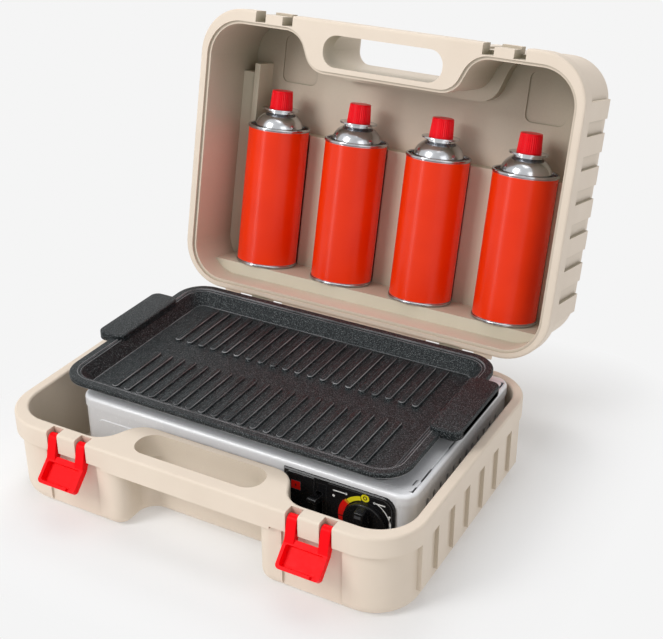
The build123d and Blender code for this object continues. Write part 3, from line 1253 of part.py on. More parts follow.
wire_back = BODY_FRONT + IGNITER_DEPTH
with BuildPart() as ignition_wire:
    with BuildLine() as wire_path:
        FilletPolyline(
            (IGNITER_X, wire_back, IGNITER_Z),
            (IGNITER_X, wire_back + 21, IGNITER_Z),
            (IGNITER_X - 27, wire_back + 34, IGNITER_Z - 10),
            (ELECTRODE_X + 45, ELECTRODE_Y - 24, ELECTRODE_LOW - 20),
            (ELECTRODE_X, ELECTRODE_Y, ELECTRODE_LOW - 22),
            (ELECTRODE_X, ELECTRODE_Y, ELECTRODE_LOW),
            radius=[12, 20, 30, 9.5],
        )
    with BuildSketch(Plane(origin=wire_path.line @ 0, z_dir=wire_path.line % 0)):
        Circle(WIRE_RADIUS)
    sweep()
save(ignition_wire, "ignition_wire")

with BuildPart() as cartridge_door:
    with BuildSketch(Plane.XY.offset(STOVE_TOP - SHEET)):
        with Locations(((DOOR_LEFT + DOOR_RIGHT) / 2, DOOR_MIDDLE)):
            RectangleRounded(DOOR_RIGHT - DOOR_LEFT, DOOR_BACK - DOOR_FRONT, DOOR_CORNER - DOOR_GAP)
        with Locations((DOOR_AXIS_X, DOOR_MIDDLE)):
            with GridLocations(DOOR_EAR_PITCH, DOOR_EAR_PITCH, 1, DOOR_EARS):
                Rectangle(
                    2 * (DOOR_KNUCKLE + DOOR_GAP), DOOR_EAR_WIDTH + 2 * DOOR_GAP, mode=Mode.SUBTRACT
                )
    extrude(amount=SHEET)
    with BuildSketch(Plane.XY.offset(STOVE_TOP - SHEET)):
        with Locations((DOOR_LEFT + DOOR_CORNER + SHEET / 2, DOOR_MIDDLE)):
            Rectangle(SHEET, DOOR_BACK - DOOR_FRONT - 4 * DOOR_CORNER)
        with Locations(((DOOR_LEFT + DOOR_AXIS_X) / 2, DOOR_MIDDLE)):
            with GridLocations(1, DOOR_BACK - DOOR_FRONT - 2 * DOOR_CORNER, 1, 2):
                Rectangle(DOOR_AXIS_X - DOOR_LEFT - 4 * DOOR_CORNER, SHEET)
    extrude(amount=-DOOR_FLANGE)
    for index in range(DOOR_EARS - 1):
        middle = DOOR_MIDDLE + (index - (DOOR_EARS - 2) / 2) * DOOR_EAR_PITCH
        with BuildSketch(front_plane(middle + 2 * DOOR_EAR_WIDTH)):
            with Locations((DOOR_AXIS_X, DOOR_AXIS_Z)):
                Circle(DOOR_KNUCKLE)
                Circle(DOOR_PIN_RADIUS + PIN_CLEARANCE, mode=Mode.SUBTRACT)
        extrude(amount=4 * DOOR_EAR_WIDTH)
save(cartridge_door, "cartridge_door")

with BuildPart() as door_hinge_pin:
    reach = (DOOR_EARS - 1) * DOOR_EAR_PITCH + DOOR_EAR_WIDTH
    with BuildSketch(front_plane(DOOR_MIDDLE + reach / 2)):
        with Locations((DOOR_AXIS_X, DOOR_AXIS_Z)):
            Circle(DOOR_PIN_RADIUS)
    extrude(amount=reach)
save(door_hinge_pin, "door_hinge_pin")
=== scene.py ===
# %% [markdown]
# # A grill kit in its carrying case
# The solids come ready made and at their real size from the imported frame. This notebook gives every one
# of them its finish, adds the small surface pieces that are too fine for the solids, and lights the
# whole.

# %% Load the frame
import math

import bmesh
import bpy
from mathutils import Matrix, Vector


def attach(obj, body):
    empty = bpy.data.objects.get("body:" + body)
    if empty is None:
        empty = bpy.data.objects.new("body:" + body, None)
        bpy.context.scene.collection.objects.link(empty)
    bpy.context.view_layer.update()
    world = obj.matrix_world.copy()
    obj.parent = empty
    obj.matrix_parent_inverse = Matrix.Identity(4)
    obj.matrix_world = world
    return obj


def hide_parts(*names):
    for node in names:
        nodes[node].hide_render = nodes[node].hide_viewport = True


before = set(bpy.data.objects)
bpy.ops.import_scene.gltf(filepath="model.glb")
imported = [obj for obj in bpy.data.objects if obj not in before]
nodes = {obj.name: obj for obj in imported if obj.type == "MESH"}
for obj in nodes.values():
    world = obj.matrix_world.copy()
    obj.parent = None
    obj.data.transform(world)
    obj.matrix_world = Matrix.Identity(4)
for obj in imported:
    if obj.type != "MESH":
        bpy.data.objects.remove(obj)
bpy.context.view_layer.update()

# %% [markdown]
# ## The camera
# A long lens from well back keeps the case's edges nearly parallel. The camera's place is given as a point
# and its direction as two angles, because a turn or a tilt can then be changed by itself.

# %% Place the camera
CAMERA_PLACE = (0.5326, -0.8497, 0.7004)
LENS = 66.9
SENSOR = 36.0
TURN = math.radians(28.8)
TILT = math.radians(27.9)

camera_data = bpy.data.cameras.new("studio_camera")
camera_data.lens = LENS
camera_data.sensor_width = SENSOR
camera = bpy.data.objects.new("studio_camera", camera_data)
bpy.context.scene.collection.objects.link(camera)
camera.location = CAMERA_PLACE
level = math.cos(TILT)
view_direction = Vector((-math.sin(TURN) * level, math.cos(TURN) * level, -math.sin(TILT)))
camera.rotation_euler = view_direction.to_track_quat("-Z", "Y").to_euler()
bpy.context.scene.camera = camera
print("camera looks along", tuple(round(v, 3) for v in view_direction))

# %% [markdown]
# ## Finishes
# Nothing on a real product has one flat colour. Moulded plastic has a fine spark-eroded grain and faint
# flow marks, cast metal is pitted, and sheet steel keeps the direction in which it was rolled or spun. Each
# finish below starts from the same small recipe: two close colours mixed by a soft noise, a roughness that
# wanders a little, and a bump at the true scale of the grain. Object coordinates are in metres here, so a
# noise scale of 500 means lumps of about two millimetres.


# %% Start a finish with its patterns
def blank_finish(name):
    """A node material with its shader, and the coordinates that its patterns read."""
    material = bpy.data.materials.new(name)
    material.use_nodes = True
    tree = material.node_tree
    shader = tree.nodes["Principled BSDF"]
    place = tree.nodes.new("ShaderNodeTexCoord").outputs["Object"]
    return material, tree, shader, place


def noise(tree, place, scale, detail=2.0, roughness=0.5, stretch=None):
    """A noise value, stretched along an axis by scaling the coordinates first."""
    if stretch:
        mapping = tree.nodes.new("ShaderNodeMapping")
        mapping.inputs["Scale"].default_value = stretch
        tree.links.new(place, mapping.inputs["Vector"])
        place = mapping.outputs["Vector"]
    node = tree.nodes.new("ShaderNodeTexNoise")
    node.inputs["Scale"].default_value = scale
    node.inputs["Detail"].default_value = detail
    node.inputs["Roughness"].default_value = roughness
    tree.links.new(place, node.inputs["Vector"])
    return node.outputs["Fac"]


print("patterns ready")


# %% Bend and blend values
def remap(tree, value, low, high, out_low=0.0, out_high=1.0):
    """Stretch a value from one range to another and clamp it there."""
    node = tree.nodes.new("ShaderNodeMapRange")
    node.inputs["From Min"].default_value = low
    node.inputs["From Max"].default_value = high
    node.inputs["To Min"].default_value = out_low
    node.inputs["To Max"].default_value = out_high
    tree.links.new(value, node.inputs["Value"])
    return node.outputs["Result"]


def mix_colours(tree, factor, first, second):
    """Blend two colours, each a tuple or another node's output."""
    node = tree.nodes.new("ShaderNodeMix")
    node.data_type = "RGBA"
    tree.links.new(factor, node.inputs["Factor"])
    for socket, colour in ((node.inputs["A"], first), (node.inputs["B"], second)):
        if isinstance(colour, tuple):
            socket.default_value = (*colour, 1.0)
        else:
            tree.links.new(colour, socket)
    return node.outputs["Result"]


def combine(tree, operation, first, second):
    """One arithmetic step on two values, each a number or another node's output."""
    node = tree.nodes.new("ShaderNodeMath")
    node.operation = operation
    for socket, value in ((node.inputs[0], first), (node.inputs[1], second)):
        if isinstance(value, (int, float)):
            socket.default_value = value
        else:
            tree.links.new(value, socket)
    return node.outputs["Value"]


print("arithmetic ready")

# %% Put the recipe together
CLOUD_SCALE = 22.0
GRAIN_SPREAD = (0.3, 0.7)
ROUGHNESS_SPREAD = 0.05
COAT_ROUGHNESS = 0.08


def clouded(tree, place, scale, detail, colour, shade):
    """Two close colours in large soft patches."""
    patches = remap(tree, noise(tree, place, scale, detail), 0.35, 0.65)
    return mix_colours(tree, patches, colour, shade)


def add_bump(tree, shader, height, strength, distance):
    """Turn a height into relief, distance being its full depth in metres."""
    bump = tree.nodes.new("ShaderNodeBump")
    bump.inputs["Strength"].default_value = strength
    bump.inputs["Distance"].default_value = distance
    tree.links.new(height, bump.inputs["Height"])
    tree.links.new(bump.outputs["Normal"], shader.inputs["Normal"])


def plain_finish(name, colour, shade, roughness, grain, metallic=0.0, coat=0.0, gloss=0.5, stretch=None):
    """Two close colours, a wandering roughness and a fine grain of a noise scale and a depth in metres."""
    material, tree, shader, place = blank_finish(name)
    grain_scale, grain_depth = grain
    lumps = noise(tree, place, grain_scale, 3.0, 0.6, stretch)
    wander = remap(tree, lumps, *GRAIN_SPREAD, roughness - ROUGHNESS_SPREAD, roughness + ROUGHNESS_SPREAD)
    tree.links.new(clouded(tree, place, CLOUD_SCALE, 3.0, colour, shade), shader.inputs["Base Color"])
    tree.links.new(wander, shader.inputs["Roughness"])
    shader.inputs["Metallic"].default_value = metallic
    shader.inputs["Specular IOR Level"].default_value = gloss
    shader.inputs["Coat Weight"].default_value = coat
    shader.inputs["Coat Roughness"].default_value = COAT_ROUGHNESS
    add_bump(tree, shader, lumps, 0.5, grain_depth)
    return material


print("recipe ready")

# %% [markdown]
# ### Closed corners and open edges
# Two colours are painted into some finishes: painted shade where a surface is closed in, and a paler
# colour along its edges, which is painted highlight, and on the pan wear as well. The Ambient Occlusion node
# measures how closed in a point is. The Bevel node gives the normal that a rounded edge would have, so an
# edge is where that normal leaves the true one. Both of them only say where, and one helper blends the
# further colour in there.

# %% Find the corners and the edges
CLOSED_IN, WIDE_OPEN = 0.25, 0.92
FLAT, SHARP = 0.995, 0.90


def tint(material, amount, colour):
    """Blend one more colour into a finish, by as much as another node's output says."""
    tree = material.node_tree
    base = tree.nodes["Principled BSDF"].inputs["Base Color"]
    tree.links.new(mix_colours(tree, amount, base.links[0].from_socket, colour), base)


def deep_shade(material, distance, dark, amount):
    """Paint shade into a finish where its own piece closes it in."""
    tree = material.node_tree
    closed = tree.nodes.new("ShaderNodeAmbientOcclusion")
    closed.samples = 8
    closed.only_local = True
    closed.inputs["Distance"].default_value = distance
    tint(material, remap(tree, closed.outputs["AO"], CLOSED_IN, WIDE_OPEN, amount, 0.0), dark)


def edge_wear_and_highlight(tree, radius):
    """Near 1 along sharp edges, and 0 on flat faces."""
    rounded = tree.nodes.new("ShaderNodeBevel")
    rounded.samples = 6
    rounded.inputs["Radius"].default_value = radius
    true = tree.nodes.new("ShaderNodeNewGeometry")
    agree = tree.nodes.new("ShaderNodeVectorMath")
    agree.operation = "DOT_PRODUCT"
    tree.links.new(rounded.outputs["Normal"], agree.inputs[0])
    tree.links.new(true.outputs["Normal"], agree.inputs[1])
    return remap(tree, agree.outputs["Value"], FLAT, SHARP)


print("corners and edges ready")

# %% [markdown]
# ### Plastics and paints
# The case is polyethylene, which is waxy and rather matt. Its deep lid gets more painted shade than its
# base, and the seats in the lid are a darker beige, which is painted shade too. The latches are a red
# plastic with a soft sheen, the stove is white enamel with a thin coat over it, and the panel and knob are
# black plastic that still shows a highlight, with a painted highlight along their edges. The lacquer on the
# canisters, further down, is the glossiest of them all.

# %% Mix the case's plastics
BEIGE, BEIGE_CLOUD = (0.790, 0.678, 0.560), (0.765, 0.653, 0.536)
SHADED_BEIGE, SHADED_CLOUD = (0.640, 0.590, 0.470), (0.620, 0.570, 0.450)
CORNER_SHADE = (0.36, 0.325, 0.24)
CASE_HOLLOW = 0.15


def moulded_case(name, colour, cloud, shade):
    """The case's waxy plastic, with painted shade where its own walls close it in to within a hand's width.
    """
    material = plain_finish(name, colour, cloud, roughness=0.5, grain=(700.0, 0.00006), gloss=0.35)
    deep_shade(material, CASE_HOLLOW, CORNER_SHADE, shade)
    return material


# The base and the lid are one plastic; they differ only in how much painted shade they get.
case_plastic = moulded_case("case_plastic", BEIGE, BEIGE_CLOUD, 0.6)
lid_plastic = moulded_case("lid_plastic", BEIGE, BEIGE_CLOUD, 1.0)
# The seats are the case's plastic in a darker beige: painted shade, with more painted shade in their
# corners.
shaded_seat_plastic = moulded_case("shaded_seat_plastic", SHADED_BEIGE, SHADED_CLOUD, 0.9)
print("case plastics ready")

# %% Mix the other plastics and paints
latch_plastic = plain_finish("latch_plastic", (0.98, 0.003, 0.008), (0.93, 0.002, 0.006), roughness=0.38,
                             grain=(350.0, 0.00002), gloss=0.07)
stove_enamel = plain_finish("stove_enamel", (0.915, 0.92, 0.94), (0.895, 0.90, 0.92), roughness=0.24,
                            grain=(260.0, 0.00003), coat=0.2)
panel_plastic = plain_finish("panel_plastic", (0.006, 0.006, 0.007), (0.009, 0.009, 0.010), roughness=0.28,
                             grain=(900.0, 0.00002), gloss=0.3)
# A pale grey along the sharp edges of the panel, the knob, the lever and the igniter: a painted highlight.
tint(panel_plastic, edge_wear_and_highlight(panel_plastic.node_tree, 0.0005), (0.11, 0.11, 0.115))
cap_plastic = plain_finish("cap_plastic", (0.95, 0.003, 0.012), (0.88, 0.002, 0.010), roughness=0.32,
                           grain=(500.0, 0.00002), gloss=0.2)
rubber = plain_finish("rubber", (0.02, 0.02, 0.02), (0.03, 0.03, 0.03), roughness=0.75,
                      grain=(900.0, 0.00008))
print("plastics and paints ready")

# %% [markdown]
# ### Metals
# Rolled and spun sheet reflects its surroundings as streaks, because its scratches all run one way. A noise
# that is stretched along one axis gives those streaks. Cast and plated pieces have an even grain instead.
# The black enamel, the ceramic and the wire's sleeve are mixed here too, because they sit among the metals.

# %% Mix the metals
bright_steel = plain_finish("bright_steel", (0.56, 0.57, 0.59), (0.42, 0.43, 0.45), roughness=0.2,
                            grain=(500.0, 0.00001), metallic=1.0, stretch=(1.0, 1.0, 12.0))
zinc_steel = plain_finish("zinc_steel", (0.60, 0.61, 0.62), (0.52, 0.53, 0.55), roughness=0.36,
                          grain=(160.0, 0.00002), metallic=1.0)
cast_alloy = plain_finish("cast_alloy", (0.58, 0.58, 0.60), (0.50, 0.50, 0.52), roughness=0.45,
                          grain=(900.0, 0.00006), metallic=1.0)
brass = plain_finish("brass", (0.75, 0.55, 0.24), (0.66, 0.47, 0.20), roughness=0.3,
                     grain=(700.0, 0.00002), metallic=1.0)
black_enamel = plain_finish("black_enamel", (0.012, 0.012, 0.013), (0.02, 0.02, 0.021), roughness=0.28,
                            grain=(400.0, 0.00004), coat=0.3)
ceramic = plain_finish("ceramic", (0.90, 0.88, 0.82), (0.86, 0.84, 0.78), roughness=0.25,
                       grain=(500.0, 0.00002), coat=0.4)
wire_sleeve = plain_finish("wire_sleeve", (0.72, 0.68, 0.60), (0.66, 0.62, 0.55), roughness=0.6,
                           grain=(900.0, 0.00004))
print("metals ready")

# %% [markdown]
# ### The non-stick coating
# The pan is cast aluminium under a black non-stick coating with pale flecks in it. The flecks are the cells
# of a Voronoi pattern: only the middle of some cells is painted, so they stay apart like real ones. A finer
# noise under them gives the orange-peel relief of a sprayed coating. Use rubs the coating thin along the
# pan's edges, and most of all on the shoulders of its ribs, which get a paler finish of their own. That pale
# grey is partly this wear and partly a painted highlight.

# %% Mix the non-stick coating
FLECK_SCALE = 850.0
PEEL_SCALE = 900.0
COATING_DARK, COATING_GREY = (0.004, 0.006, 0.007), (0.068, 0.079, 0.083)
FLECK_GREY = (0.23, 0.24, 0.245)
RUBBED_HIGHLIGHT_GREY = (0.46, 0.46, 0.47)
RUBBED_HIGHLIGHT_REACH = 0.0013


def speckled_coating(name):
    """A black coating with pale flecks, and a pale grey along its edges that is partly wear and partly
    painted highlight.
    """
    material, tree, shader, place = blank_finish(name)
    cells = tree.nodes.new("ShaderNodeTexVoronoi")
    cells.inputs["Scale"].default_value = FLECK_SCALE
    tree.links.new(place, cells.inputs["Vector"])
    fleck = remap(tree, cells.outputs["Distance"], 0.20, 0.32, 1.0, 0.0)
    chance = remap(tree, cells.outputs["Color"], 0.35, 0.75)
    flecks = combine(tree, "MULTIPLY", fleck, chance)
    peel = noise(tree, place, PEEL_SCALE, 3.0, 0.65)
    ground = mix_colours(tree, remap(tree, peel, 0.48, 0.66), COATING_DARK, COATING_GREY)
    speckled = mix_colours(tree, flecks, ground, FLECK_GREY)
    use = remap(tree, noise(tree, place, 30.0, 4.0), 0.30, 0.60, 0.35, 1.0)
    wear_and_highlight = combine(tree, "MULTIPLY", edge_wear_and_highlight(tree, RUBBED_HIGHLIGHT_REACH), use)
    tree.links.new(mix_colours(tree, wear_and_highlight, speckled, RUBBED_HIGHLIGHT_GREY), shader.inputs["Base Color"])
    tree.links.new(remap(tree, peel, *GRAIN_SPREAD, 0.30, 0.46), shader.inputs["Roughness"])
    shader.inputs["Specular IOR Level"].default_value = 0.15
    add_bump(tree, shader, peel, 1.0, 0.0006)
    return material


pan_coating = speckled_coating("pan_coating")
# The ribs' shoulders: a pale grey that is partly wear and partly painted highlight.
rubbed_highlight_coating = plain_finish("rubbed_highlight_coating", (0.34, 0.34, 0.345), (0.06, 0.062, 0.065), roughness=0.4,
                              grain=(900.0, 0.0001))
print("pan coating ready")

# %% [markdown]
# ### The printed tin
# A gas canister is tinplate: its wall is printed and lacquered, but the rolled seams at both ends stay bare.
# The tin is one solid, so the finish itself has to know where the print stops. It measures how far a point
# lies along the canister's axis, and all four canisters lie side by side with their feet in one line, so one
# measure serves them all.

# %% Find places in the open lid
MM = 0.001
LID_ANGLE = math.radians(103.0)
HINGE = Vector((0.0, 158.0, 87.15)) * MM
LID_Y = Vector((0.0, math.cos(LID_ANGLE), -math.sin(LID_ANGLE)))
LID_Z = Vector((0.0, math.sin(LID_ANGLE), math.cos(LID_ANGLE)))


def in_lid(x, y, z):
    """A point in the lid, given in millimetres as if the lid were shut."""
    return Vector((x * MM, 0, 0)) + HINGE + LID_Y * (y * MM - HINGE.y) + LID_Z * (z * MM - HINGE.z)


CAN_PLACES = (-144.0, -48.0, 48.0, 144.0)
CAN_FOOT = 127.0
CAN_AXIS_Z = 151.3
CAN_LENGTH = 155.0
print("canisters stand at", tuple(round(v, 4) for v in in_lid(0, CAN_FOOT, CAN_AXIS_Z)))

# %% Mix the printed tin
SEAM = 3.6
PRINT_EDGE = 0.1
PRINT_RED, PRINT_CLOUD = (0.93, 0.038, 0.001), (0.88, 0.032, 0.001)
SEAM_DARK, SEAM_PALE = (0.32, 0.33, 0.35), (0.58, 0.59, 0.61)


def printed_tin(name):
    """Red lacquer between two seams of bare steel."""
    material, tree, shader, place = blank_finish(name)
    along = tree.nodes.new("ShaderNodeVectorMath")
    along.operation = "DOT_PRODUCT"
    along.inputs[1].default_value = -LID_Y
    tree.links.new(place, along.inputs[0])
    foot = in_lid(0, CAN_FOOT, CAN_AXIS_Z).dot(-LID_Y)
    height = combine(tree, "SUBTRACT", along.outputs["Value"], foot)
    upper_seam = CAN_LENGTH - SEAM
    above = remap(tree, height, SEAM * MM, (SEAM + PRINT_EDGE) * MM)
    below = remap(tree, height, (upper_seam - PRINT_EDGE) * MM, upper_seam * MM, 1.0, 0.0)
    paint = combine(tree, "MULTIPLY", above, below)
    red = clouded(tree, place, 18.0, 2.0, PRINT_RED, PRINT_CLOUD)
    steel = mix_colours(tree, noise(tree, place, 60.0, 4.0, 0.6), SEAM_DARK, SEAM_PALE)
    tree.links.new(mix_colours(tree, paint, steel, red), shader.inputs["Base Color"])
    tree.links.new(combine(tree, "SUBTRACT", 1.0, paint), shader.inputs["Metallic"])
    tree.links.new(remap(tree, paint, 0.0, 1.0, 0.20, 0.26), shader.inputs["Roughness"])
    shader.inputs["Specular IOR Level"].default_value = 0.28
    add_bump(tree, shader, noise(tree, place, 420.0, 2.0), 0.3, 0.00001)
    return material


tin_print = printed_tin("tin_print")
print("printed tin ready")

# %% [markdown]
# ## Dressing the solids
# Each solid keeps its shape and only gets its finish. A table of names is easier to check than a chain of
# conditions, and the loop stops with an error if a name is wrong.

# %% Hand out the finishes
FINISHES = {
    case_plastic: ["case_base"],
    lid_plastic: ["case_lid"],
    shaded_seat_plastic: ["lid_seats"],
    latch_plastic: ["latch_left", "latch_right"],
    stove_enamel: ["stove_body", "stove_top", "cartridge_door"],
    panel_plastic: ["control_panel", "control_knob", "lock_lever", "igniter"],
    pan_coating: ["grill_pan"],
    black_enamel: ["drip_tray", "pan_support"],
    zinc_steel: ["bottom_plate", "cartridge_socket", "cartridge_carrier", "heat_shield", "screws",
                 "hinge_pins", "latch_pins", "lever_pin", "door_hinge_pin", "valve_spindle"],
    cast_alloy: ["burner_body", "gas_valve"],
    brass: ["burner_cap", "jet"],
    ceramic: ["electrode"],
    wire_sleeve: ["ignition_wire"],
    rubber: ["rubber_feet"],
}
for number in range(1, len(CAN_PLACES) + 1):
    FINISHES.setdefault(tin_print, []).append(f"canister_{number}_tin")
    FINISHES.setdefault(bright_steel, []).extend([f"canister_{number}_top", f"canister_{number}_valve"])
    FINISHES.setdefault(cap_plastic, []).append(f"canister_{number}_cap")

dressed = set()
for material, names in FINISHES.items():
    for name in names:
        mesh = nodes[name].data
        mesh.materials.clear()
        mesh.materials.append(material)
        dressed.add(name)
print("dressed", len(dressed), "of", len(nodes), "still bare:", sorted(set(nodes) - dressed))

# %% [markdown]
# ## The ribs and grips of the pan
# The pan's ribs carry the food above the fat, and they are cast with rounded tops and ends. Each rib starts
# as a circle whose two halves are pulled apart. Its face is extruded and drawn in three times, for the side,
# the shoulder and the round top, and one rib is repeated over both rows. The shoulders get the rubbed
# finish, whose pale grey is partly wear and partly painted highlight. The grips are thick plates with a soft
# edge all round, because they are held with a cloth when the pan is hot.

# %% Hand a shape over as a piece
MERGE_DISTANCE = 1e-6


def make_piece(name, shape, material, body, smooth_below=None):
    """Merge doubles, turn the faces out, and hand the mesh over as a piece that rides on a body."""
    bmesh.ops.remove_doubles(shape, verts=shape.verts, dist=MERGE_DISTANCE)
    bmesh.ops.recalc_face_normals(shape, faces=shape.faces)
    mesh = bpy.data.meshes.new(name)
    shape.to_mesh(mesh)
    shape.free()
    mesh.materials.append(material)
    if smooth_below:
        mesh.shade_smooth()
        mesh.set_sharp_from_angle(angle=math.radians(smooth_below))
    piece = bpy.data.objects.new(name, mesh)
    bpy.context.scene.collection.objects.link(piece)
    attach(piece, body)
    return piece


def only(kind, geometry):
    """The vertices, edges or faces in the mixed list that an operator gives back."""
    return [part for part in geometry if isinstance(part, kind)]


def to_metres(shape):
    """Scale a shape that was built in millimetres."""
    bmesh.ops.scale(shape, verts=shape.verts, vec=(MM, MM, MM))


print("points closer than", MERGE_DISTANCE, "m are merged")

# %% Cast the ribs
PAN_FLOOR_LEVEL = 95.0
RIB_SINK = 0.2
RIB_PITCH = 14.0
RIB_COLUMNS = 20
RIB_PLACES = [(column - (RIB_COLUMNS - 1) / 2) * RIB_PITCH for column in range(RIB_COLUMNS)]
PAN_MIDDLE = 20.5
ROW_SHIFT = 52.0
RIB_ROWS = (PAN_MIDDLE - ROW_SHIFT, PAN_MIDDLE + ROW_SHIFT)
RIB_HALF_WIDTH = 3.9
RIB_HALF_LENGTH = 38.0
RIB_SIDES = 16
RIB_STEPS = ((0.75, 2.2), (0.45, 0.6), (0.7, 0.35))
RUBBED_HIGHLIGHT_STEP = 1


def add_rib(shape, x, y):
    """A long rib with round ends. Each step is how far its face is drawn in and how far it rises."""
    pulled = RIB_HALF_LENGTH - RIB_HALF_WIDTH
    half_a_side = Matrix.Rotation(math.pi / RIB_SIDES, 4, "Z")
    ring = bmesh.ops.create_circle(shape, segments=RIB_SIDES, radius=RIB_HALF_WIDTH, cap_ends=True,
                                   matrix=half_a_side)["verts"]
    for point in ring:
        point.co.y += math.copysign(pulled, point.co.y)
    bmesh.ops.translate(shape, verts=ring, vec=(x, y, PAN_FLOOR_LEVEL - RIB_SINK))
    top = list(ring[0].link_faces)
    for step, (drawn_in, rise) in enumerate(RIB_STEPS):
        made = bmesh.ops.extrude_face_region(shape, geom=top)["geom"]
        bmesh.ops.delete(shape, geom=top, context="FACES_ONLY")
        top = only(bmesh.types.BMFace, made)
        points = list(top[0].verts)
        bmesh.ops.translate(shape, verts=points, vec=(0, 0, rise))
        for point in points:
            end = y + math.copysign(pulled, point.co.y - y)
            middle = Vector((x, end, point.co.z))
            radius = (point.co - middle).length
            point.co = middle + (point.co - middle) * (radius - drawn_in) / radius
        # The shoulder's faces take the second finish, a pale grey that is partly wear and partly painted
        # highlight.
        if step == RUBBED_HIGHLIGHT_STEP:
            for face in {face for point in points for face in point.link_faces} - set(top):
                face.material_index = 1


ribs = bmesh.new()
for row in RIB_ROWS:
    for x in RIB_PLACES:
        add_rib(ribs, x, row)
to_metres(ribs)
pan_ribs = make_piece("pan_ribs", ribs, pan_coating, "pan", smooth_below=50)
pan_ribs.data.materials.append(rubbed_highlight_coating)
print("rib faces:", len(pan_ribs.data.polygons))

# %% Thicken the grips
GRIP_OUT, GRIP_Y, GRIP_Z = 182.2, 39.0, 107.8
GRIP_SIZE = (30.6, 99.4, 9.4)
GRIP_CORNER = 8.5
GRIP_EDGE = 1.5


def block(size):
    """A cuboid round the origin."""
    shape = bmesh.new()
    bmesh.ops.create_cube(shape, size=1)
    bmesh.ops.scale(shape, verts=shape.verts, vec=size)
    return shape


def soften(shape, edges, radius, segments):
    """Round some edges."""
    bmesh.ops.bevel(shape, geom=edges, offset=radius, segments=segments, profile=0.5, affect="EDGES",
                    material=-1)


def rise_of(edge):
    """How far an edge climbs from one end to the other."""
    return abs(edge.verts[0].co.z - edge.verts[1].co.z)


def grip_plate(side):
    """A plate with round corners and a soft edge above and below."""
    shape = block(GRIP_SIZE)
    soften(shape, [e for e in shape.edges if rise_of(e) > 1], GRIP_CORNER, 7)
    level_edges = [e for e in shape.edges if rise_of(e) < 0.01 and abs(e.calc_face_angle(0)) > 1]
    soften(shape, level_edges, GRIP_EDGE, 3)
    bmesh.ops.translate(shape, verts=shape.verts, vec=(side * GRIP_OUT, GRIP_Y, GRIP_Z))
    to_metres(shape)
    return shape


for side, label in ((-1, "left"), (1, "right")):
    make_piece(f"pan_grip_{label}", grip_plate(side), pan_coating, "pan", smooth_below=50)
print("grips ready")

# %% [markdown]
# ## The caps
# Each canister's valve is covered by a small tapered cap, and its side is ribbed all round so that a wet
# hand can pull it off. The ribs are real relief, because they show against the light. The cap starts as one
# ring of points, which is extruded upwards to a cup. Along its side every second pair of points is drawn in,
# and a second wall is extruded inside it, because the cap is open below and its inside shows when it is
# pulled.

# %% Place things on a canister
DOME_HEIGHT = 17.0
COLLAR_THICKNESS = 1.6


def onto_can(x, height):
    """Turns a shape built upright at the origin, in millimetres, onto the canister at x."""
    turn = Matrix((Vector((1, 0, 0)), LID_Z, -LID_Y)).transposed().to_4x4()
    return Matrix.Translation(in_lid(x, CAN_FOOT - height, CAN_AXIS_Z)) @ turn @ Matrix.Scale(MM, 4)


def raise_ring(shape, edges, radius, height):
    """Extrude a ring of edges and move the copy to a radius and a height."""
    made = bmesh.ops.extrude_edge_only(shape, edges=edges)["geom"]
    for point in only(bmesh.types.BMVert, made):
        angle = math.atan2(point.co.y, point.co.x)
        point.co = Vector((radius * math.cos(angle), radius * math.sin(angle), height))
    return only(bmesh.types.BMEdge, made)


print("collars end", CAN_LENGTH + DOME_HEIGHT + COLLAR_THICKNESS, "mm above the canisters' feet")

# %% Shape one ribbed cap for each canister
CAP_FOOT = CAN_LENGTH + DOME_HEIGHT + COLLAR_THICKNESS
CAP_HEIGHT = 19.5
CAP_BASE = 12.6
CAP_TOP = 11.2
CAP_WALL = 1.2
CAP_BAND = 1.2
CAP_RIB_COUNT = 36
CAP_RIB_DEPTH = 0.35
CAP_RIB_FOOT = 1.4
CAP_RIB_HEAD = 1.8
CAP_CROWN = ((-0.05, 1.5), (0.05, 0.6), (0.35, 0.15), (0.9, 0.0), (3.0, 0.25))


def ribbed_cap(x):
    """A tapered cup with ribs outside. The crown's steps are how far in and how far down it lies."""
    shape = bmesh.new()
    foot = bmesh.ops.create_circle(shape, segments=4 * CAP_RIB_COUNT, radius=CAP_BASE)["verts"]
    ring = raise_ring(shape, list(shape.edges), CAP_BASE, CAP_BAND)
    ring = raise_ring(shape, ring, CAP_BASE - 0.1, CAP_RIB_FOOT)
    lower = {v for e in ring for v in e.verts}
    ring = raise_ring(shape, ring, CAP_TOP + 0.1, CAP_HEIGHT - CAP_RIB_HEAD)
    upper = {v for e in ring for v in e.verts}
    # In order of angle, four in a row are the lower and upper ends of one pair of points.
    for index, point in enumerate(sorted(lower | upper, key=lambda v: math.atan2(v.co.y, v.co.x))):
        if (index // 4) % 2:
            radius = point.co.xy.length
            point.co.xy *= (radius - CAP_RIB_DEPTH) / radius
    for inward, downward in CAP_CROWN:
        ring = raise_ring(shape, ring, CAP_TOP - inward, CAP_HEIGHT - downward)
    bmesh.ops.contextual_create(shape, geom=ring)
    inner = [e for e in shape.edges if all(v in set(foot) for v in e.verts)]
    inner = raise_ring(shape, inner, CAP_BASE - CAP_WALL, 0.0)
    inner = raise_ring(shape, inner, CAP_TOP - CAP_WALL, CAP_HEIGHT - CAP_WALL)
    bmesh.ops.contextual_create(shape, geom=inner)
    bmesh.ops.transform(shape, matrix=onto_can(x, CAP_FOOT), verts=shape.verts)
    return shape


for number, x in enumerate(CAN_PLACES, start=1):
    cap = make_piece(f"ribbed_cap_{number}", ribbed_cap(x), cap_plastic, f"cap_{number}")
    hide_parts(f"canister_{number}_cap")
print("caps:", len(CAN_PLACES), "faces each:", len(cap.data.polygons))

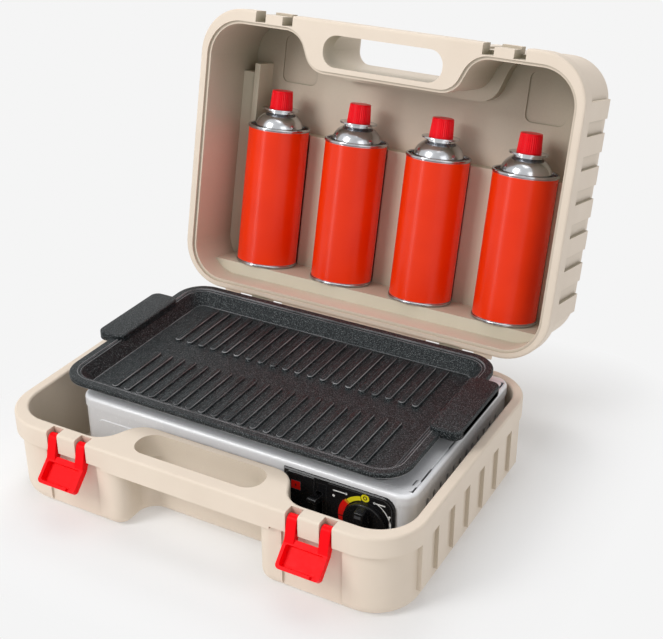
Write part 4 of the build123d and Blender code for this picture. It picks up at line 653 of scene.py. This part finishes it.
# %% [markdown]
# ## The rolled collars
# The valve cup of a gas canister ends in a collar whose edge is rolled over, and the collar has one notch,
# which turns the canister the right way up in the stove. The roll is a small circle spun round the
# canister's axis, and the spin stops short of a full turn to leave the notch open.

# %% Roll the collar edges
UPRIGHT = Matrix.Rotation(math.radians(90), 4, "X")
ROLL_RADIUS = 0.95
ROLL_PLACE = 19.15
ROLL_HEIGHT = CAN_LENGTH + DOME_HEIGHT + COLLAR_THICKNESS / 2
NOTCH_HALF_ANGLE = math.radians(10.5)


def collar_roll(x):
    """The rolled edge, which stays open at the notch."""
    shape = bmesh.new()
    section = bmesh.ops.create_circle(shape, segments=14, radius=ROLL_RADIUS, cap_ends=True)["verts"]
    bmesh.ops.transform(shape, matrix=Matrix.Translation((ROLL_PLACE, 0, 0)) @ UPRIGHT, verts=section)
    bmesh.ops.rotate(shape, verts=section, cent=(0, 0, 0),
                     matrix=Matrix.Rotation(math.radians(90) + NOTCH_HALF_ANGLE, 3, "Z"))
    bmesh.ops.spin(shape, geom=list(shape.faces), cent=(0, 0, 0), axis=(0, 0, 1), steps=84,
                   angle=2 * math.pi - 2 * NOTCH_HALF_ANGLE, use_duplicate=False)
    bmesh.ops.transform(shape, matrix=onto_can(x, ROLL_HEIGHT), verts=shape.verts)
    return shape


for number, x in enumerate(CAN_PLACES, start=1):
    make_piece(f"collar_roll_{number}", collar_roll(x), bright_steel, f"canister_{number}",
               smooth_below=60)
print("collar rolls:", len(CAN_PLACES))

# %% [markdown]
# ## The apron behind the lid
# Between the hinges, a narrow apron under the lid's back edge closes the gap that the open lid would leave
# above the base. It is a flat strip with soft edges and it turns with the lid. Over the hinge lugs it is
# narrower and lies higher, so that nothing rubs.

# %% Close the gap behind the lid
APRON_SPANS = ((-158.0, -138.5), (-85.5, 85.5), (138.5, 158.0))
LUG_SPANS = ((-138.5, -85.5), (85.5, 138.5))
APRON_SECTION = (148.5, 154.5, 90.3, 92.3)
LUG_SECTION = (148.5, 151.4, 91.6, 93.2)
APRON_EDGE = 0.6


def apron(span, section):
    """A strip from left to right, whose section is its front, back, underside and top in the shut lid."""
    left, right = span
    front, back, low, high = section
    shape = block((right - left, back - front, high - low))
    soften(shape, list(shape.edges), APRON_EDGE, 3)
    for point in shape.verts:
        point.co = in_lid(point.co.x + (left + right) / 2, point.co.y + (front + back) / 2,
                          point.co.z + (low + high) / 2)
    return shape


aprons = [(span, APRON_SECTION) for span in APRON_SPANS] + [(span, LUG_SECTION) for span in LUG_SPANS]
for number, (span, section) in enumerate(aprons, start=1):
    make_piece(f"lid_apron_{number}", apron(span, section), lid_plastic, "lid",
               smooth_below=50)
print("aprons:", len(aprons))

# %% [markdown]
# ## The marks on the panel
# The panel is printed in several colours: a red and yellow scale round the knob, a pale arc on its other
# side, a yellow disc at the lighting position, and a few bars and dots. Grey lines along the panel's top and
# right edge are painted highlight on its raised rim. A print is a film of ink, so each mark is a very thin
# slab that sits on the panel, and the painted highlight is drawn the same way. Bars start from a grid, discs
# from a circle, and the scale from one short edge that is spun round the knob's axis.


# %% Mix the inks
def ink(name, colour, shade):
    """A satin film of ink."""
    return plain_finish(name, colour, shade, roughness=0.4, grain=(900.0, 0.00001), gloss=0.3)


ink_white = ink("ink_white", (0.95, 0.95, 0.93), (0.90, 0.90, 0.88))
ink_red = ink("ink_red", (0.97, 0.012, 0.008), (0.92, 0.010, 0.006))
ink_yellow = ink("ink_yellow", (0.92, 0.80, 0.02), (0.88, 0.75, 0.02))
ink_orange = ink("ink_orange", (0.90, 0.30, 0.02), (0.84, 0.26, 0.02))
ink_dark = ink("ink_dark", (0.010, 0.010, 0.012), (0.016, 0.016, 0.018))
# This grey is print on the key's frame and the knob, and painted highlight along the panel's rim.
grey_ink_and_sheen = ink("grey_ink_and_sheen", (0.10, 0.10, 0.105), (0.08, 0.08, 0.085))
print("inks ready")


# %% Draw flat marks
def on_panel(x, z):
    """A point of the panel's plane, before it is moved to the panel's face."""
    return Vector((x, 0, z))


def toward(degrees):
    """A direction in that plane, counted from the right-hand side."""
    return on_panel(math.cos(math.radians(degrees)), math.sin(math.radians(degrees)))


def bar(left, right, low, high):
    """A rectangle given by its four sides."""
    shape = bmesh.new()
    size = Matrix.Diagonal(((right - left) / 2, 1, (high - low) / 2, 1))
    place = Matrix.Translation(on_panel((left + right) / 2, (low + high) / 2))
    bmesh.ops.create_grid(shape, x_segments=1, y_segments=1, size=1, matrix=place @ size @ UPRIGHT)
    return shape


def disc(centre, radius, hole=0.0):
    """A disc, or a ring where it has a hole."""
    shape = bmesh.new()
    middle = on_panel(*centre)
    bmesh.ops.create_circle(shape, segments=40, radius=radius, cap_ends=True,
                            matrix=Matrix.Translation(middle) @ UPRIGHT)
    if hole:
        bmesh.ops.inset_individual(shape, faces=list(shape.faces), thickness=radius - hole)
        inside = min(shape.faces, key=lambda face: (face.calc_center_median() - middle).length)
        bmesh.ops.delete(shape, geom=[inside], context="FACES_ONLY")
    return shape


print("bars and discs ready")

# %% Draw bands round the knob
KNOB = (148.0, 54.0)


def arc(inner, outer, start, end, taper=0.0, centre=KNOB):
    """A band between two radii from one angle to another, which may widen inwards as it goes."""
    shape = bmesh.new()
    middle = on_panel(*centre)
    ends = [shape.verts.new(middle + toward(start) * radius) for radius in (inner, outer)]
    edge = shape.edges.new(ends)
    bmesh.ops.spin(shape, geom=[*ends, edge], cent=middle, axis=(0, -1, 0), steps=24,
                   angle=math.radians(end - start))
    for point in shape.verts:
        offset = point.co - middle
        if taper and offset.length < (inner + outer) / 2:
            turned = math.degrees(math.atan2(offset.z, offset.x)) - start
            point.co = middle + offset * (1 - taper * abs(turned / (end - start)) / inner)
    return shape


print("bands ready")

# %% [markdown]
# ### The rounded corner of the panel
# The panel's plate is rounded where it meets the stove's round corner. The solid has that corner square, so
# a merged copy of it is cut along short straight lines that follow the round, and each cut is closed again.

# %% Round the panel's corner
PANEL_CORNER = (163.0, 72.0)
PANEL_ROUND = 12.0
CUT_ANGLES = range(5, 90, 10)

plate = bmesh.new()
plate.from_mesh(nodes["control_panel"].data)
bmesh.ops.remove_doubles(plate, verts=plate.verts, dist=MERGE_DISTANCE)
for degrees in CUT_ANGLES:
    outward = toward(degrees)
    touch = on_panel(*PANEL_CORNER) + outward * PANEL_ROUND
    cut = bmesh.ops.bisect_plane(plate, geom=[*plate.verts, *plate.edges, *plate.faces], dist=1e-7,
                                 plane_co=touch * MM, plane_no=outward, clear_outer=True)["geom_cut"]
    bmesh.ops.holes_fill(plate, edges=only(bmesh.types.BMEdge, cut))
rounded_panel = make_piece("rounded_panel", plate, panel_plastic, "stove")
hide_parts("control_panel")
print("panel faces:", len(rounded_panel.data.polygons))

# %% Print the scale and the marks
PANEL_FACE = -89.9
LABEL_FACE = -90.7
OVERPRINT = 0.08
FILM = 0.12
FILM_SINK = 0.02
LIGHTING = (147.4, 78.2)


def thicken(shape, face_y):
    """Give flat faces on the plane Y = 0 their thickness and lay them on the plane Y = face_y."""
    grown = bmesh.ops.extrude_face_region(shape, geom=list(shape.faces), use_keep_orig=True)["geom"]
    bmesh.ops.translate(shape, verts=only(bmesh.types.BMVert, grown), vec=(0, -FILM, 0))
    bmesh.ops.translate(shape, verts=shape.verts, vec=(0, face_y + FILM_SINK, 0))
    to_metres(shape)
    return shape


marks = {
    "scale_red": (arc(20.9, 26.6, 212, 144), ink_red, PANEL_FACE),
    "scale_orange": (arc(20.9, 26.0, 143.4, 138), ink_orange, PANEL_FACE),
    "scale_yellow": (arc(20.9, 25.2, 137, 102), ink_yellow, PANEL_FACE),
    "scale_tick": (bar(121.2, 127.2, 52.0, 52.7), ink_dark, PANEL_FACE - OVERPRINT),
    "scale_pale": (arc(24.0, 24.7, 62, -36, taper=0.9), ink_white, PANEL_FACE),
    "pale_tick": (bar(168.6, 171.8, 50.8, 51.5), ink_white, PANEL_FACE),
    "pale_line": (bar(170.4, 171.0, 54.6, 66.0), ink_white, PANEL_FACE),
    "pale_line_dot": (disc((170.7, 66.6), 1.0), ink_white, PANEL_FACE),
    "pale_bar_right": (bar(156.0, 166.5, 75.6, 76.7), ink_white, PANEL_FACE),
    "pale_bar_right_end": (disc((156.2, 76.15), 1.1), ink_white, PANEL_FACE),
    "pale_bar_left": (bar(116.5, 129.0, 75.8, 76.9), ink_white, PANEL_FACE),
    "pale_bar_left_end": (disc((129.2, 76.35), 1.1), ink_white, PANEL_FACE),
    "pale_dot": (disc((117.0, 70.6), 1.25), ink_white, PANEL_FACE),
    "lighting_disc": (disc(LIGHTING, 3.9), ink_yellow, PANEL_FACE),
    "lighting_ring": (disc(LIGHTING, 2.0, hole=1.2), ink_dark, PANEL_FACE - OVERPRINT),
    # A grey line along the top, the corner and the right edge: painted highlight on the panel's raised rim.
    "border_sheen_top": (bar(112.0, 163.0, 81.3, 81.75), grey_ink_and_sheen, PANEL_FACE),
    "border_sheen_corner": (arc(9.3, 9.75, 90, 0, centre=PANEL_CORNER), grey_ink_and_sheen, PANEL_FACE),
    "border_sheen_right": (bar(172.3, 172.75, 20.0, 72.0), grey_ink_and_sheen, PANEL_FACE),
    "key_frame": (bar(74.8, 84.8, 64.8, 74.4), grey_ink_and_sheen, LABEL_FACE),
    "key_red": (bar(75.4, 84.2, 65.4, 73.8), ink_red, LABEL_FACE - OVERPRINT),
    "key_mark": (bar(79.3, 80.3, 68.4, 70.8), ink_dark, LABEL_FACE - 2 * OVERPRINT),
}
for name, (shape, colour, face_y) in marks.items():
    make_piece(f"mark_{name}", thicken(shape, face_y), colour, "stove")
print("marks:", len(marks))

# %% [markdown]
# ### The knob's own mark
# A knob needs one mark that turns with it. This one is a short grey bar at the top of the grip, so it rides
# on the knob, not on the stove.

# %% Mark the knob
GRIP_FACE = -105.2
KNOB_MARK_HALF_WIDTH = 3.0
knob_bar = bar(KNOB[0] - KNOB_MARK_HALF_WIDTH, KNOB[0] + KNOB_MARK_HALF_WIDTH, 66.6, 69.6)
make_piece("knob_mark", thicken(knob_bar, GRIP_FACE), grey_ink_and_sheen, "knob")
print("knob marked")

# %% [markdown]
# ## The studio
# A white sweep would glow if it were lit to white, so the floor takes its pale colour from its own material
# and only the shadow darkens it. Further out it passes into the even colour of the backdrop, so that no
# lamp's edge shows on it.

# %% Roll out the floor
STAGE_SIZE = 12.0
floor_mesh = bpy.data.meshes.new("studio_floor")
shape = bmesh.new()
bmesh.ops.create_grid(shape, x_segments=1, y_segments=1, size=STAGE_SIZE)
shape.to_mesh(floor_mesh)
shape.free()
floor = bpy.data.objects.new("studio_floor", floor_mesh)
bpy.context.scene.collection.objects.link(floor)
print("floor reaches", STAGE_SIZE, "m each way")

# %% Mix the floor's paper
PAPER = 0.913
PAPER_GRAIN = 0.01
floor_paper, paper_tree, paper_shader, paper_place = blank_finish("floor_paper")
paper_colour = mix_colours(paper_tree, noise(paper_tree, paper_place, 300.0, 3.0),
                           (PAPER - PAPER_GRAIN,) * 3, (PAPER + PAPER_GRAIN,) * 3)
paper_tree.links.new(paper_colour, paper_shader.inputs["Base Color"])
paper_shader.inputs["Roughness"].default_value = 0.9
paper_shader.inputs["Specular IOR Level"].default_value = 0.0
far_paper = paper_tree.nodes.new("ShaderNodeEmission")
far_paper.inputs["Color"].default_value = (PAPER, PAPER, PAPER, 1.0)
print("paper colour:", PAPER)

# %% Let the paper pass into the backdrop
KIT_MIDDLE = (0.0, 0.06, 0.0)
KIT_REACH = (0.21, 0.21, 0.0)
FADE_DISTANCE = 0.12
GLOW_BESIDE_KIT = 0.25

beyond = paper_place
for operation, amount in (("SUBTRACT", KIT_MIDDLE), ("ABSOLUTE", None), ("SUBTRACT", KIT_REACH),
                          ("MAXIMUM", (0.0, 0.0, 0.0))):
    step = paper_tree.nodes.new("ShaderNodeVectorMath")
    step.operation = operation
    paper_tree.links.new(beyond, step.inputs[0])
    if amount:
        step.inputs[1].default_value = amount
    beyond = step.outputs["Vector"]
reach = paper_tree.nodes.new("ShaderNodeVectorMath")
reach.operation = "LENGTH"
paper_tree.links.new(beyond, reach.inputs[0])
glow = remap(paper_tree, reach.outputs["Value"], 0.0, FADE_DISTANCE, GLOW_BESIDE_KIT, 1.0)
blend_out = paper_tree.nodes.new("ShaderNodeMixShader")
paper_tree.links.new(glow, blend_out.inputs["Fac"])
paper_tree.links.new(paper_shader.outputs["BSDF"], blend_out.inputs[1])
paper_tree.links.new(far_paper.outputs["Emission"], blend_out.inputs[2])
paper_tree.links.new(blend_out.outputs["Shader"], paper_tree.nodes["Material Output"].inputs["Surface"])
floor_mesh.materials.append(floor_paper)
print("the paper fades over", FADE_DISTANCE, "m")

# %% [markdown]
# ### Light
# The world gives a weak light from all sides, while the camera and the shiny pieces see it in the
# backdrop's pale colour. The lamps stay at a plain level: one large soft lamp up and to the left shapes the
# forms, and a weaker one opposite opens the shadows. A lamp overhead and one behind draw the upper edges,
# and a low upright strip lays a long highlight on every canister.

# %% Set the world
SKY = (0.92, 0.93, 0.95, 1.0)
SKY_STRENGTH = 0.36
BACKDROP = (0.914, 0.914, 0.914, 1.0)

world = bpy.data.worlds.new("studio_world")
bpy.context.scene.world = world
world.use_nodes = True
world_tree = world.node_tree
sky = world_tree.nodes["Background"]
sky.inputs["Color"].default_value = SKY
sky.inputs["Strength"].default_value = SKY_STRENGTH
seen = world_tree.nodes.new("ShaderNodeBackground")
seen.inputs["Color"].default_value = BACKDROP
seen.inputs["Strength"].default_value = 1.0
ray = world_tree.nodes.new("ShaderNodeLightPath")
seen_or_mirrored = combine(world_tree, "MAXIMUM", ray.outputs["Is Camera Ray"], ray.outputs["Is Glossy Ray"])
pick = world_tree.nodes.new("ShaderNodeMixShader")
world_tree.links.new(seen_or_mirrored, pick.inputs["Fac"])
world_tree.links.new(sky.outputs["Background"], pick.inputs[1])
world_tree.links.new(seen.outputs["Background"], pick.inputs[2])
world_tree.links.new(pick.outputs["Shader"], world_tree.nodes["World Output"].inputs["Surface"])
print("world ready")


def soft_lamp(name, place, target, size, power):
    """A rectangular lamp that faces a point."""
    data = bpy.data.lights.new(name, "AREA")
    data.shape = "RECTANGLE"
    data.size, data.size_y = size
    data.energy = power
    lamp = bpy.data.objects.new(name, data)
    lamp.location = place
    lamp.rotation_euler = (Vector(target) - Vector(place)).to_track_quat("-Z", "Y").to_euler()
    bpy.context.scene.collection.objects.link(lamp)


soft_lamp("key_lamp", place=(-1.2, -1.9, 1.9), target=(0, 0, 0.1), size=(1.0, 1.2), power=38.0)
soft_lamp("fill_lamp", place=(1.9, -1.3, 1.1), target=(0, 0, 0.1), size=(1.2, 1.6), power=8.0)
soft_lamp("top_lamp", place=(0.1, 0.2, 2.4), target=(0, 0.05, 0), size=(1.8, 1.2), power=12.0)
soft_lamp("rim_lamp", place=(-0.6, 1.5, 2.0), target=(0, 0, 0.1), size=(1.2, 0.8), power=14.0)
soft_lamp("strip_lamp", place=(-1.15, -1.75, 0.42), target=(0, 0.15, 0.25), size=(0.22, 1.0), power=4.5)
bpy.context.scene.view_settings.view_transform = "Standard"
print("lamps:", [light.name for light in bpy.data.lights])
